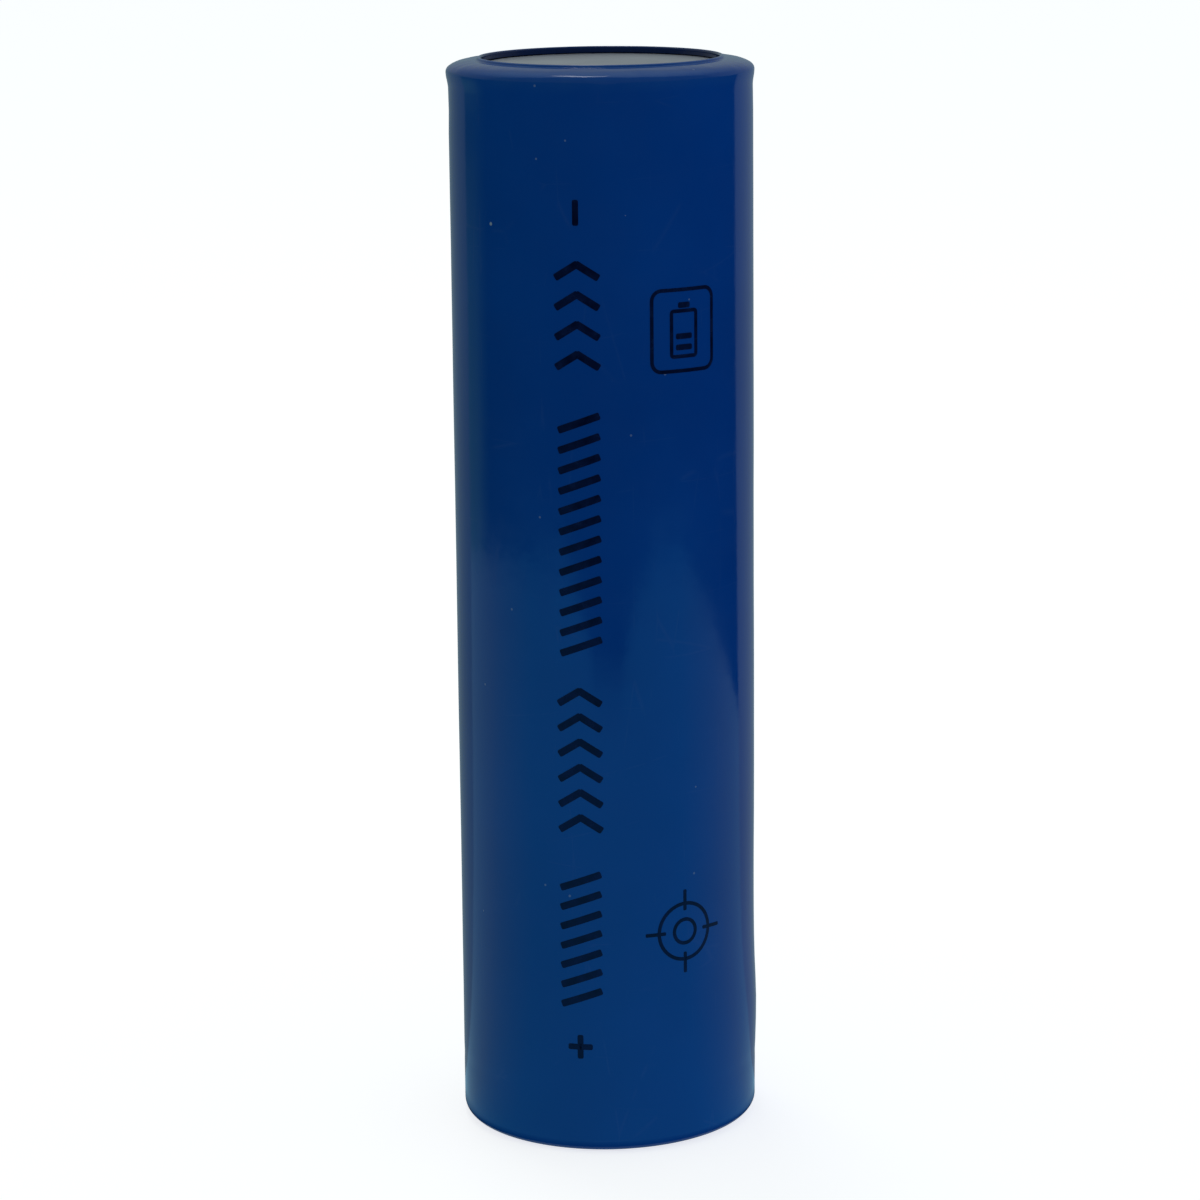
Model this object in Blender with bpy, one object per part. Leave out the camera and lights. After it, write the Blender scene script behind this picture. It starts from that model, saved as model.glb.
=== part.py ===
"""A cylindrical lithium-ion cell, 18 mm across and 65 mm long, built piece by piece.

The cell stands on its positive terminal, with its flat negative end up. The origin is the centre of
the positive terminal's face, and +Z runs along the cell towards the negative end. Sizes are written in
millimetres and turned into Blender's metres as each mesh is made.

The sheets of a cell are only 0.1 to 0.3 mm thick, so pieces that touch in a real one stand FIT_GAP
apart here.
"""

import math

import bmesh
import bpy
from mathutils import Matrix, Vector

MM = 0.001

# Driving dimensions, in mm
CELL_LENGTH = 65.2  # from the positive terminal's face to the negative terminal's face
CAN_RADIUS = 8.95
CAN_WALL = 0.25
SLEEVE_WALL = 0.11
FIT_GAP = 0.04  # between pieces that touch in a real cell
TURN_SIDES = 40  # flat sides around a turned piece

# The can: its corners, its crimped mouth and the bead rolled into it under the closure
CORNER_RADIUS = 0.80
CONTACT_RADIUS = 7.0  # of the flat face of the negative terminal
CONTACT_STEP = 0.05  # from that face down to the corner
CRIMP_FACE_Z = 0.56
CRIMP_MOUTH_RADIUS = 6.3
BEAD_Z = 3.75
BEAD_DEPTH = 1.30
BEAD_HALF_WIDTH = 0.68

# The sleeve: its fold over the crimp, its neck over the bead, and its free lip over the negative end
FOLD_FACE_Z = 0.10
FOLD_RADIUS = 0.95
FOLD_MOUTH_RADIUS = 6.4
NECK_DEPTH = 0.08
FLARE = 0.13  # how far the shoulder swells past the side
FLARE_HEIGHT = 0.85
SHOULDER_HEIGHT = 0.86
LIP_RADIUS = 7.12
LIP_HEIGHT = 0.42  # of the free edge above the negative face

# The card ring round the positive terminal
CARD_RING_RADII = (5.0, 8.1)

# The closure, a stack clamped by the crimp
STACK_RADIUS = 8.0
BUTTON_RADIUS = 4.2
BUTTON_EDGE = 0.45
CAP_SHEET = 0.30
CAP_SLOPE = 0.75  # how far the button's wall spreads on its way to the flange
CAP_VENT_SIZE = (1.8, 1.5, 0.5)
CAP_VENT_Z = 0.90
PTC_INNER_RADIUS = 4.8
PTC_THICKNESS = 0.25
VENT_SHEET = 0.25
VENT_PIP_RADIUS = 1.2
VENT_SLOPE_RADIUS = 2.8
VENT_GROOVE_RADIUS = 4.4
VENT_GROOVE = 0.1
SPACER_RADII = (3.6, 6.3)
SPACER_THICKNESS = 0.30
WELD_PLATE_RADIUS = 6.2
WELD_PLATE_THICKNESS = 0.45
GASKET_LIP_RADIUS = 6.05
GASKET_LIP_THICKNESS = 0.42
GASKET_SEAT_RADIUS = 6.6
GASKET_TOP_Z = 2.80

# The wound roll: four sheets laid on each other and wound from the core outwards
ROLL_CORE_RADIUS = 1.62
SEPARATOR_SHEET = 0.08
ELECTRODE_SHEET = 0.315
ROLL_SIDES = 24  # flat sides in each turn
ROLL_TURNS = 6
SEPARATOR_Z = (5.10, 64.25)
ANODE_Z = (5.85, 63.50)
CATHODE_Z = (6.35, 63.00)

# Closing tape, end discs and pin
TAPE_SHEET = 0.05
CLOSING_TAPE_Z = (9.0, 60.0)
END_DISC_RADIUS = 8.5
END_DISC_THICKNESS = 0.25
POSITIVE_DISC_Z = 4.75
NEGATIVE_DISC_Z = 64.33
PIN_RADIUS = 1.5
PIN_WALL = 0.2
PIN_Z = (5.3, 64.0)
PIN_TAPER = 1.2
PIN_SLIT = 0.4

# Tabs. Widths are whole numbers of the roll's flat sides, to each side of the tab's middle
TAB_SHEET = 0.12
POSITIVE_TAB_SPAN = 3
POSITIVE_TAB_LEVEL_Z = 4.25  # where it turns out under the end disc
NEGATIVE_TAB_SPAN = 1

# Values that follow from the ones above
NEGATIVE_FACE_Z = CELL_LENGTH
LIP_Z = NEGATIVE_FACE_Z + LIP_HEIGHT
SLEEVE_RADIUS = CAN_RADIUS + FIT_GAP + SLEEVE_WALL
INNER_CORNER_RADIUS = CORNER_RADIUS - CAN_WALL
CORNER_CENTRE_R = CAN_RADIUS - CORNER_RADIUS
CRIMP_CENTRE_Z = CRIMP_FACE_Z + CORNER_RADIUS
GASKET_LIP_Z = CRIMP_FACE_Z + CAN_WALL + FIT_GAP
CAP_FLANGE_Z = GASKET_LIP_Z + GASKET_LIP_THICKNESS + FIT_GAP
PTC_Z = CAP_FLANGE_Z + CAP_SHEET + FIT_GAP
VENT_Z = PTC_Z + PTC_THICKNESS + FIT_GAP
SEAT_Z = VENT_Z + VENT_SHEET + FIT_GAP
WELD_PLATE_Z = SEAT_Z + SPACER_THICKNESS + FIT_GAP
ROLL_PITCH = 2 * (SEPARATOR_SHEET + ELECTRODE_SHEET) + 4 * FIT_GAP
ROLL_STEP = 2 * math.pi / ROLL_SIDES
LAST_STATION = ROLL_TURNS * ROLL_SIDES
WRAP_END = LAST_STATION + ROLL_SIDES + 3  # of the separator's bare turn round the roll
POSITIVE_TAB_STATION = ROLL_SIDES // 2


# ---------------------------------------------------------------- lines and outlines


def arc(centre, radii, start, end, steps):
    """Points (r, z) along an ellipse's arc, between two angles in degrees."""
    points = []
    for step in range(steps + 1):
        angle = math.radians(start + (end - start) * step / steps)
        points.append((centre[0] + radii[0] * math.cos(angle), centre[1] + radii[1] * math.sin(angle)))
    return points


def offset_line(line, distance):
    """The line moved to the left of its own direction, with mitred corners."""
    points = [Vector(point) for point in line]
    directions = [(after - before).normalized() for before, after in zip(points, points[1:])]
    normals = [Vector((-direction.y, direction.x)) for direction in directions]
    moved = []
    for point, before, after in zip(points, normals[:1] + normals, normals + normals[-1:]):
        moved.append(tuple(point + (before + after) * distance / (1 + before.dot(after))))
    return moved


def on_circle(radius, count, first_angle=0.0):
    """(x, y) of points spaced evenly round a circle."""
    angles = [first_angle + 2 * math.pi * number / count for number in range(count)]
    return [(radius * math.cos(angle), radius * math.sin(angle)) for angle in angles]


# ---------------------------------------------------------------- objects


def clear_scene():
    """Empty the scene."""
    for obj in list(bpy.data.objects):
        bpy.data.objects.remove(obj)


def finish_material(name, colour, roughness, metallic):
    """A Principled material of one colour."""
    material = bpy.data.materials.new(name)
    material.use_nodes = True
    shader = material.node_tree.nodes["Principled BSDF"]
    shader.inputs["Base Color"].default_value = (*colour, 1.0)
    shader.inputs["Roughness"].default_value = roughness
    shader.inputs["Metallic"].default_value = metallic
    material.diffuse_color = (*colour, 1.0)
    return material


def link_object(name, builder):
    """An object that holds the bmesh's geometry."""
    mesh = bpy.data.meshes.new(name)
    builder.to_mesh(mesh)
    builder.free()
    obj = bpy.data.objects.new(name, mesh)
    bpy.context.scene.collection.objects.link(obj)
    return obj


def finished_object(name, builder, material):
    """A smooth-shaded object with its material."""
    obj = link_object(name, builder)
    obj.data.shade_smooth()
    obj.data.set_sharp_from_angle(angle=math.radians(30))
    obj.data.materials.append(material)
    return obj


def turned(name, outline, material, sides=TURN_SIDES):
    """A solid of revolution about Z, whose (r, z) outline closes on itself or on the axis."""
    builder = bmesh.new()
    vertices = [builder.verts.new((r * MM, 0, z * MM)) for r, z in outline]
    edges = [builder.edges.new(pair) for pair in zip(vertices, vertices[1:])]
    if outline[0][0] > 0:
        edges.append(builder.edges.new((vertices[-1], vertices[0])))
    bmesh.ops.spin(
        builder, geom=vertices + edges, axis=(0, 0, 1), cent=(0, 0, 0), angle=2 * math.pi, steps=sides
    )
    bmesh.ops.remove_doubles(builder, verts=builder.verts, dist=1e-6)
    bmesh.ops.recalc_face_normals(builder, faces=builder.faces)
    return finished_object(name, builder, material)


def pressed(name, line, thickness, material):
    """A turned sheet of even thickness. The line is its outer face, with the sheet to its left."""
    return turned(name, line + offset_line(line, thickness)[::-1], material)


def ring(name, radii, z_low, thickness, material):
    """A flat ring."""
    inner, outer = radii
    z_high = z_low + thickness
    return turned(name, [(inner, z_low), (outer, z_low), (outer, z_high), (inner, z_high)], material)


def swept_sheet(name, rows, thickness, material):
    """A sheet through rows of (x, y, z) points, with half its thickness to each side."""
    builder = bmesh.new()
    grid = [[builder.verts.new(Vector(point) * MM) for point in row] for row in rows]
    for row, next_row in zip(grid, grid[1:]):
        for a, b, c, d in zip(row, row[1:], next_row[1:], next_row):
            builder.faces.new((a, b, c, d))
    bmesh.ops.recalc_face_normals(builder, faces=builder.faces)
    sheet = finished_object(name, builder, material)
    solidify = sheet.modifiers.new("sheet_thickness", "SOLIDIFY")
    solidify.thickness = thickness * MM
    solidify.offset = 0.0
    solidify.use_even_offset = True
    return sheet


def hide_cutter(cutter):
    """Leave a cutter out of the model."""
    cutter.hide_render = True
    cutter.display_type = "WIRE"
    return cutter


def box_cutter(name, size, centre, angle=0.0):
    """A box, turned about Z, for a Boolean to cut with."""
    builder = bmesh.new()
    bmesh.ops.create_cube(builder, size=1.0)
    bmesh.ops.scale(builder, verts=builder.verts, vec=Vector(size) * MM)
    bmesh.ops.translate(builder, verts=builder.verts, vec=Vector(centre) * MM)
    bmesh.ops.rotate(builder, verts=builder.verts, cent=(0, 0, 0), matrix=Matrix.Rotation(angle, 3, "Z"))
    return hide_cutter(link_object(name, builder))


def rod_cutter(name, radius, centre, sides=12):
    """A round rod along Z, 1 mm long, for a Boolean to cut with."""
    builder = bmesh.new()
    bmesh.ops.create_cone(
        builder, cap_ends=True, segments=sides, radius1=radius * MM, radius2=radius * MM, depth=MM
    )
    bmesh.ops.translate(builder, verts=builder.verts, vec=Vector(centre) * MM)
    return hide_cutter(link_object(name, builder))


def cut(obj, cutters):
    """Take each cutter out of the object."""
    for cutter in cutters:
        boolean = obj.modifiers.new(cutter.name, "BOOLEAN")
        boolean.operation = "DIFFERENCE"
        boolean.object = cutter


# ---------------------------------------------------------------- outside of the cell


def make_sleeve(material):
    """The shrunk film: folded over the crimp, drawn in over the bead, swollen at the shoulder."""
    flare_foot_z = LIP_Z - SHOULDER_HEIGHT - FLARE_HEIGHT
    shoulder_centre = (LIP_RADIUS, LIP_Z - SHOULDER_HEIGHT)
    shoulder_width = SLEEVE_RADIUS + FLARE - LIP_RADIUS
    line = [(FOLD_MOUTH_RADIUS, FOLD_FACE_Z)]
    line += arc((SLEEVE_RADIUS - FOLD_RADIUS, FOLD_FACE_Z + FOLD_RADIUS), (FOLD_RADIUS,) * 2, -90, 0, 4)
    line += [
        (SLEEVE_RADIUS, BEAD_Z - BEAD_HALF_WIDTH),
        (SLEEVE_RADIUS - NECK_DEPTH, BEAD_Z),
        (SLEEVE_RADIUS, BEAD_Z + BEAD_HALF_WIDTH),
        (SLEEVE_RADIUS, flare_foot_z),
        (SLEEVE_RADIUS + 0.7 * FLARE, flare_foot_z + FLARE_HEIGHT / 2),
    ]
    line += arc(shoulder_centre, (shoulder_width, SHOULDER_HEIGHT), 0, 90, 7)
    return pressed("shrink_sleeve", line, SLEEVE_WALL, material)


def make_card_ring(material):
    """The insulating ring between the crimp and the sleeve's fold."""
    z_low = FOLD_FACE_Z + SLEEVE_WALL + FIT_GAP
    return ring("positive_card_ring", CARD_RING_RADII, z_low, CRIMP_FACE_Z - FIT_GAP - z_low, material)


def make_can(material):
    """The steel can, which is the negative terminal: flat base up, mouth beaded and crimped below."""
    line = [(CRIMP_MOUTH_RADIUS, CRIMP_FACE_Z)]
    line += arc((CORNER_CENTRE_R, CRIMP_CENTRE_Z), (CORNER_RADIUS,) * 2, -90, 0, 3)
    line += arc((CAN_RADIUS, BEAD_Z), (BEAD_DEPTH, BEAD_HALF_WIDTH), 270, 90, 8)
    base_centre_z = NEGATIVE_FACE_Z - CONTACT_STEP - CORNER_RADIUS
    line += arc((CORNER_CENTRE_R, base_centre_z), (CORNER_RADIUS,) * 2, 0, 90, 3)
    line += [(CONTACT_RADIUS, NEGATIVE_FACE_Z), (0, NEGATIVE_FACE_Z)]
    return pressed("steel_can", line, CAN_WALL, material)


# ---------------------------------------------------------------- the closure


def make_gasket(material):
    """The moulded seal that insulates the closure from the can, squeezed by the crimp."""
    corner = INNER_CORNER_RADIUS - FIT_GAP
    lip_top = GASKET_LIP_Z + GASKET_LIP_THICKNESS
    wall_radius = CORNER_CENTRE_R + corner
    pocket_radius = STACK_RADIUS + FIT_GAP
    outline = [(GASKET_LIP_RADIUS, GASKET_LIP_Z)]
    outline += arc((CORNER_CENTRE_R, CRIMP_CENTRE_Z), (corner, corner), -90, 0, 3)
    outline += [
        (wall_radius, GASKET_TOP_Z),
        (GASKET_SEAT_RADIUS, GASKET_TOP_Z),
        (GASKET_SEAT_RADIUS, SEAT_Z),
        (pocket_radius, SEAT_Z),
        (pocket_radius, lip_top),
        (GASKET_LIP_RADIUS, lip_top),
    ]
    return turned("crimp_gasket", outline, material)


def make_positive_cap(material):
    """The terminal cap: a flat raised button, a sloping wall with gas vents, and a flange."""
    line = [(0, 0)]
    line += arc((BUTTON_RADIUS - BUTTON_EDGE, BUTTON_EDGE), (BUTTON_EDGE, BUTTON_EDGE), -90, -15, 4)
    line += [(BUTTON_RADIUS + CAP_SLOPE, CAP_FLANGE_Z), (STACK_RADIUS, CAP_FLANGE_Z)]
    cap = pressed("positive_cap", line, CAP_SHEET, material)
    vents = []
    for quarter in range(4):
        angle = (quarter + 0.5) * math.pi / 2
        centre = (BUTTON_RADIUS + CAP_SLOPE / 2, 0, CAP_VENT_Z)
        vents.append(box_cutter(f"cap_vent_{quarter}", CAP_VENT_SIZE, centre, angle))
    cut(cap, vents)
    return cap


def make_vent_disc(material):
    """The pressure vent: a thin disc with a weakening groove, and a centre pip welded to the plate."""
    pip_z = WELD_PLATE_Z - FIT_GAP - VENT_SHEET
    sheet = [(0, pip_z), (VENT_PIP_RADIUS, pip_z), (VENT_SLOPE_RADIUS, VENT_Z), (STACK_RADIUS, VENT_Z)]
    groove = [
        (VENT_GROOVE_RADIUS, VENT_Z),
        (VENT_GROOVE_RADIUS + VENT_GROOVE, VENT_Z + VENT_GROOVE),
        (VENT_GROOVE_RADIUS + 2 * VENT_GROOVE, VENT_Z + VENT_GROOVE),
        (VENT_GROOVE_RADIUS + 3 * VENT_GROOVE, VENT_Z),
    ]
    outline = sheet[:-1] + groove + sheet[-1:] + offset_line(sheet, VENT_SHEET)[::-1]
    return turned("vent_disc", outline, material)


def make_weld_plate(material):
    """The plate that takes the positive tab, with holes that let gas reach the vent disc."""
    top = WELD_PLATE_Z + WELD_PLATE_THICKNESS
    outline = [(0, WELD_PLATE_Z), (WELD_PLATE_RADIUS, WELD_PLATE_Z), (WELD_PLATE_RADIUS, top), (0, top)]
    plate = turned("interrupt_weld_plate", outline, material)
    holes = []
    for number, (x, y) in enumerate(on_circle(2.5, 6, math.pi / 6)):
        holes.append(rod_cutter(f"plate_hole_{number}", 0.5, (x, y, WELD_PLATE_Z), sides=10))
    cut(plate, holes)
    return plate


# ---------------------------------------------------------------- end discs and pin


def make_positive_end_disc(material):
    """The insulating disc under the bead, with a tab slot and holes for filling."""
    radii = (1.2, END_DISC_RADIUS)
    disc = ring("positive_end_disc", radii, POSITIVE_DISC_Z, END_DISC_THICKNESS, material)
    slot_x, _ = wound_point(POSITIVE_TAB_STATION, layer_depth(1))
    cutters = [box_cutter("tab_slot", (1.5, 4.3, 1.0), (slot_x - 0.2, 0, POSITIVE_DISC_Z))]
    for number, (x, y) in enumerate(on_circle(5.8, 5, math.pi / 5)):
        cutters.append(rod_cutter(f"filling_hole_{number}", 0.9, (x, y, POSITIVE_DISC_Z)))
    cut(disc, cutters)
    return disc


def make_negative_end_disc(material):
    """The insulating disc under the can's base, notched where the negative tab folds over it."""
    radii = (1.8, END_DISC_RADIUS)
    disc = ring("negative_end_disc", radii, NEGATIVE_DISC_Z, END_DISC_THICKNESS, material)
    cut(disc, [box_cutter("tab_notch", (2.4, 4.7, 1.0), (-END_DISC_RADIUS, 0, NEGATIVE_DISC_Z))])
    return disc


def make_centre_pin(material):
    """The rolled steel tube in the roll's core, slit along its length, with tapered ends."""
    low, high = PIN_Z
    line = [
        (PIN_RADIUS - PIN_WALL, low),
        (PIN_RADIUS, low + PIN_TAPER),
        (PIN_RADIUS, high - PIN_TAPER),
        (PIN_RADIUS - PIN_WALL, high),
    ]
    pin = turned("centre_pin", line + offset_line(line, PIN_WALL)[::-1], material, sides=20)
    slit_size = (PIN_RADIUS, PIN_SLIT, 2 * high)
    cut(pin, [box_cutter("pin_slit", slit_size, (-PIN_RADIUS, 0, 0))])
    return pin


# ---------------------------------------------------------------- the wound roll


def layer_depth(layer):
    """The middle of a sheet, outwards from the winding line. Layers 0 to 3 lie inside to outside."""
    sheets = [SEPARATOR_SHEET, ELECTRODE_SHEET, SEPARATOR_SHEET, ELECTRODE_SHEET]
    return sum(sheets[:layer]) + layer * FIT_GAP + (sheets[layer] + FIT_GAP) / 2


def wound_point(station, depth):
    """(x, y) in the winding at a station, one of ROLL_SIDES in each turn from -X, at a depth."""
    below = math.floor(station)
    corners = []
    for corner in (below, below + 1):
        angle = corner * ROLL_STEP
        radius = ROLL_CORE_RADIUS + ROLL_PITCH * corner / ROLL_SIDES + depth
        corners.append(Vector((-radius * math.cos(angle), -radius * math.sin(angle))))
    return tuple(corners[0].lerp(corners[1], station - below))


def upright_sheet(name, line, z_range, thickness, material):
    """A sheet that stands on a line of (x, y) points."""
    rows = [[(x, y, z) for x, y in line] for z in z_range]
    return swept_sheet(name, rows, thickness, material)


def wound_sheet(name, layer, stations, z_range, material):
    """One sheet of the roll."""
    first, last = stations
    line = [wound_point(station, layer_depth(layer)) for station in range(first, last + 1)]
    thickness = ELECTRODE_SHEET if layer % 2 else SEPARATOR_SHEET
    return upright_sheet(name, line, z_range, thickness, material)


def make_roll(separator, cathode, anode):
    """The four sheets of the roll. Each electrode stops where its tab takes its place."""
    cathode_start = POSITIVE_TAB_STATION + POSITIVE_TAB_SPAN + 2
    anode_end = LAST_STATION - NEGATIVE_TAB_SPAN - 1
    wound_sheet("inner_separator", 0, (0, WRAP_END), SEPARATOR_Z, separator)
    wound_sheet("cathode_sheet", 1, (cathode_start, anode_end - 2), CATHODE_Z, cathode)
    wound_sheet("outer_separator", 2, (0, LAST_STATION + 2), SEPARATOR_Z, separator)
    wound_sheet("anode_sheet", 3, (1, anode_end), ANODE_Z, anode)


def make_closing_tape(material):
    """The tape that holds down the roll's outer end: over the last turn, then down to the turn below."""
    depth = SEPARATOR_SHEET + FIT_GAP * 3 / 2 + TAPE_SHEET / 2
    lower_end = WRAP_END - ROLL_SIDES
    line = [wound_point(station, depth) for station in range(WRAP_END - 5, WRAP_END + 1)]
    line += [wound_point(station, depth) for station in range(lower_end + 2, lower_end + 6)]
    return upright_sheet("closing_tape", line, CLOSING_TAPE_Z, TAPE_SHEET, material)


# ---------------------------------------------------------------- tabs


def tab_section(station, span, depth):
    """(x, y) across a strip that takes a sheet's place in the roll, span flat sides to each side."""
    whole = math.floor(span)
    steps = [-span] + list(range(-whole, whole + 1)) + [span]
    return [wound_point(station + step, depth) for step in sorted(set(steps))]


def folded_strip(name, section, path, material):
    """A tab whose section is carried along a path of (x, z) steps."""
    rows = [[(x + step, y, z) for x, y in section] for step, z in path]
    return swept_sheet(name, rows, TAB_SHEET, material)


def make_positive_tab(material):
    """The aluminium tab: down its slot in the roll, through the end disc, and folded to the plate."""
    weld_z = WELD_PLATE_Z + WELD_PLATE_THICKNESS + FIT_GAP + TAB_SHEET / 2
    bend = 0.35
    fold = (POSITIVE_TAB_LEVEL_Z - weld_z) / 2
    fold_step = 1.8
    weld_step = -3.6
    path = [(0.0, CATHODE_Z[1])]
    path += arc((bend, POSITIVE_TAB_LEVEL_Z + bend), (bend, bend), 180, 270, 3)
    path += arc((fold_step, POSITIVE_TAB_LEVEL_Z - fold), (fold, fold), 90, -90, 6)
    path += [(weld_step, weld_z)]
    section = tab_section(POSITIVE_TAB_STATION, POSITIVE_TAB_SPAN, layer_depth(1))
    return folded_strip("positive_tab", section, path, material)


def make_negative_tab(material):
    """The nickel tab: up the roll's outer side, over the end disc, and flat under the can's base."""
    level_z = NEGATIVE_FACE_Z - CONTACT_STEP - CAN_WALL - FIT_GAP - TAB_SHEET / 2
    bend = 0.4
    weld_step = 10.0
    path = [(0.0, ANODE_Z[0])]
    path += arc((bend, level_z - bend), (bend, bend), 180, 90, 4)
    path += [(weld_step, level_z)]
    section = tab_section(LAST_STATION, NEGATIVE_TAB_SPAN, layer_depth(3))
    return folded_strip("negative_tab", section, path, material)


def make_tab_tape(name, station, span, layer, z_range, material):
    """The insulating tape on a tab's outer face, where the tab leaves the roll."""
    depth = layer_depth(layer) + TAB_SHEET / 2 + FIT_GAP + TAPE_SHEET / 2
    return upright_sheet(name, tab_section(station, span, depth), z_range, TAPE_SHEET, material)


# ---------------------------------------------------------------- the cell


def main():
    """Build every piece of the cell."""
    clear_scene()
    nickel = finish_material("nickel_plate", (0.52, 0.52, 0.50), 0.30, 1.0)
    film = finish_material("blue_film", (0.004, 0.055, 0.23), 0.22, 0.0)
    card = finish_material("insulating_card", (0.80, 0.80, 0.76), 0.80, 0.0)
    moulding = finish_material("seal_plastic", (0.62, 0.66, 0.68), 0.45, 0.0)
    polymer = finish_material("current_limiter", (0.03, 0.03, 0.03), 0.60, 0.0)
    aluminium = finish_material("aluminium", (0.80, 0.81, 0.82), 0.35, 1.0)
    separator = finish_material("separator_film", (0.88, 0.88, 0.86), 0.55, 0.0)
    cathode = finish_material("cathode_coating", (0.045, 0.045, 0.050), 0.75, 0.0)
    anode = finish_material("anode_coating", (0.020, 0.020, 0.022), 0.85, 0.0)
    tape = finish_material("amber_tape", (0.72, 0.38, 0.05), 0.35, 0.0)
    steel = finish_material("pin_steel", (0.58, 0.57, 0.55), 0.40, 1.0)

    make_sleeve(film)
    make_card_ring(card)
    make_can(nickel)
    make_gasket(moulding)
    make_positive_cap(nickel)
    ring("ptc_ring", (PTC_INNER_RADIUS, STACK_RADIUS), PTC_Z, PTC_THICKNESS, polymer)
    make_vent_disc(aluminium)
    ring("vent_spacer_ring", SPACER_RADII, SEAT_Z, SPACER_THICKNESS, moulding)
    make_weld_plate(aluminium)
    make_positive_end_disc(moulding)
    make_negative_end_disc(moulding)
    make_centre_pin(steel)
    make_roll(separator, cathode, anode)
    make_closing_tape(tape)
    make_positive_tab(aluminium)
    make_negative_tab(nickel)
    make_tab_tape("positive_tab_tape", POSITIVE_TAB_STATION, 3.6, 1, (5.4, 12.0), tape)
    make_tab_tape("negative_tab_tape", LAST_STATION, 1.25, 3, (57.0, 63.9), tape)


main()
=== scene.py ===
"""Visual model of a cylindrical battery cell in its shrink sleeve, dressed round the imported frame.

The cell stands on its positive end with the flat negative end up. The sleeve, its print, the steel can,
the positive cap and the card ring are modelled here; every piece inside the can is the frame's own,
with a finish of its own.
"""

import logging
import math
from contextlib import contextmanager
from dataclasses import dataclass, field
from enum import Enum
from typing import Callable, Iterator

import bmesh
import bpy
from mathutils import Matrix, Vector, noise


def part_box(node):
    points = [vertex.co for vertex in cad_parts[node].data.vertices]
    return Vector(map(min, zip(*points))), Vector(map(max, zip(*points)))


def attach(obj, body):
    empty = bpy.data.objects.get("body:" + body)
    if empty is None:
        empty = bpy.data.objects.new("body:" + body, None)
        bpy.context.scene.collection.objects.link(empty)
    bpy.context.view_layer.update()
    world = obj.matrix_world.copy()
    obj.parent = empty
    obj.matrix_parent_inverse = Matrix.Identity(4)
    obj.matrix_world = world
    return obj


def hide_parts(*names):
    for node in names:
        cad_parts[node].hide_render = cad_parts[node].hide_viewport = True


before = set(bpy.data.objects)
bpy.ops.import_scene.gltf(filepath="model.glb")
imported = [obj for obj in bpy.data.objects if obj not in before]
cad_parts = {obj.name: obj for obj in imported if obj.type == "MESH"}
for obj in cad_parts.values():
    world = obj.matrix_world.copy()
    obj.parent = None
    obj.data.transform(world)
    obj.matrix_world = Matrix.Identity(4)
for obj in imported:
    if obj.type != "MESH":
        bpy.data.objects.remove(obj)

MM = 0.001
BODY = "root"

Point = tuple[float, float]
Colour = tuple[float, float, float]

log = logging.getLogger("battery_cell")


# ------------------------------------------------------------------ lines


def arc_line(centre: Point, radii: Point, start: float, end: float, steps: int) -> list[Point]:
    """Draw points along an ellipse's arc.

    Args:
        centre: The ellipse's centre, as radius and height in millimetres.
        radii: Its half width and half height.
        start: First angle in degrees.
        end: Last angle in degrees.
        steps: Number of equal steps between them.

    Returns:
        The points, from first to last.
    """
    angles = [math.radians(start + (end - start) * step / steps) for step in range(steps + 1)]
    return [(centre[0] + radii[0] * math.cos(a), centre[1] + radii[1] * math.sin(a)) for a in angles]


def straight_line(start: Point, end: Point, steps: int) -> list[Point]:
    """Draw equally spaced points between two points, without the two ends.

    Args:
        start: The point before the first one.
        end: The point after the last one.
        steps: Number of equal steps between start and end.

    Returns:
        The points between them.
    """
    shares = [step / steps for step in range(1, steps)]
    return [(start[0] + (end[0] - start[0]) * s, start[1] + (end[1] - start[1]) * s) for s in shares]


def offset_line(line: list[Point], distance: float) -> list[Point]:
    """Move a line to the left of its own direction, with mitred corners.

    Args:
        line: The points to follow.
        distance: How far to move it, in millimetres.

    Returns:
        One moved point for each point of the line.
    """
    points = [Vector(point) for point in line]
    directions = [(after - before).normalized() for before, after in zip(points, points[1:])]
    normals = [Vector((-way.y, way.x)) for way in directions]
    moved = []
    for point, before, after in zip(points, normals[:1] + normals, normals + normals[-1:]):
        moved.append(tuple(point + (before + after) * distance / (1 + before.dot(after))))
    return moved


def ease(low: float, high: float, value: float) -> float:
    """Rise smoothly from 0 at low to 1 at high."""
    share = min(max((value - low) / (high - low), 0.0), 1.0)
    return share * share * (3 - 2 * share)


def hump(centre: float, width: float, value: float) -> float:
    """Rise to 1 at the centre and fall off on both sides."""
    return math.exp(-(((value - centre) / width) ** 2))


# ------------------------------------------------------------------ workbench


def select_only(piece: bpy.types.Object) -> None:
    """Make one object the only selected one, and the active one."""
    bpy.ops.object.select_all(action="DESELECT")
    piece.select_set(True)
    bpy.context.view_layer.objects.active = piece


@contextmanager
def editing(piece: bpy.types.Object) -> Iterator[None]:
    """Open a piece in edit mode with all of it selected, and close it again.

    Args:
        piece: The object to open.
    """
    select_only(piece)
    bpy.ops.object.mode_set(mode="EDIT")
    bpy.ops.mesh.select_all(action="SELECT")
    yield
    bpy.ops.object.mode_set(mode="OBJECT")


def pick_vertices(piece: bpy.types.Object, wanted: Callable[[bmesh.types.BMVert], bool]) -> None:
    """Select only the vertices that pass a test, in a piece that is open in edit mode.

    Args:
        piece: The open object.
        wanted: The test.
    """
    bpy.ops.mesh.select_all(action="DESELECT")
    mesh = bmesh.from_edit_mesh(piece.data)
    for vertex in mesh.verts:
        vertex.select = wanted(vertex)
    mesh.select_flush_mode()
    bmesh.update_edit_mesh(piece.data)


def named(name: str) -> bpy.types.Object:
    """Name the object that was just added, and its mesh."""
    piece = bpy.context.object
    piece.name = piece.data.name = name
    return piece


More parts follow.
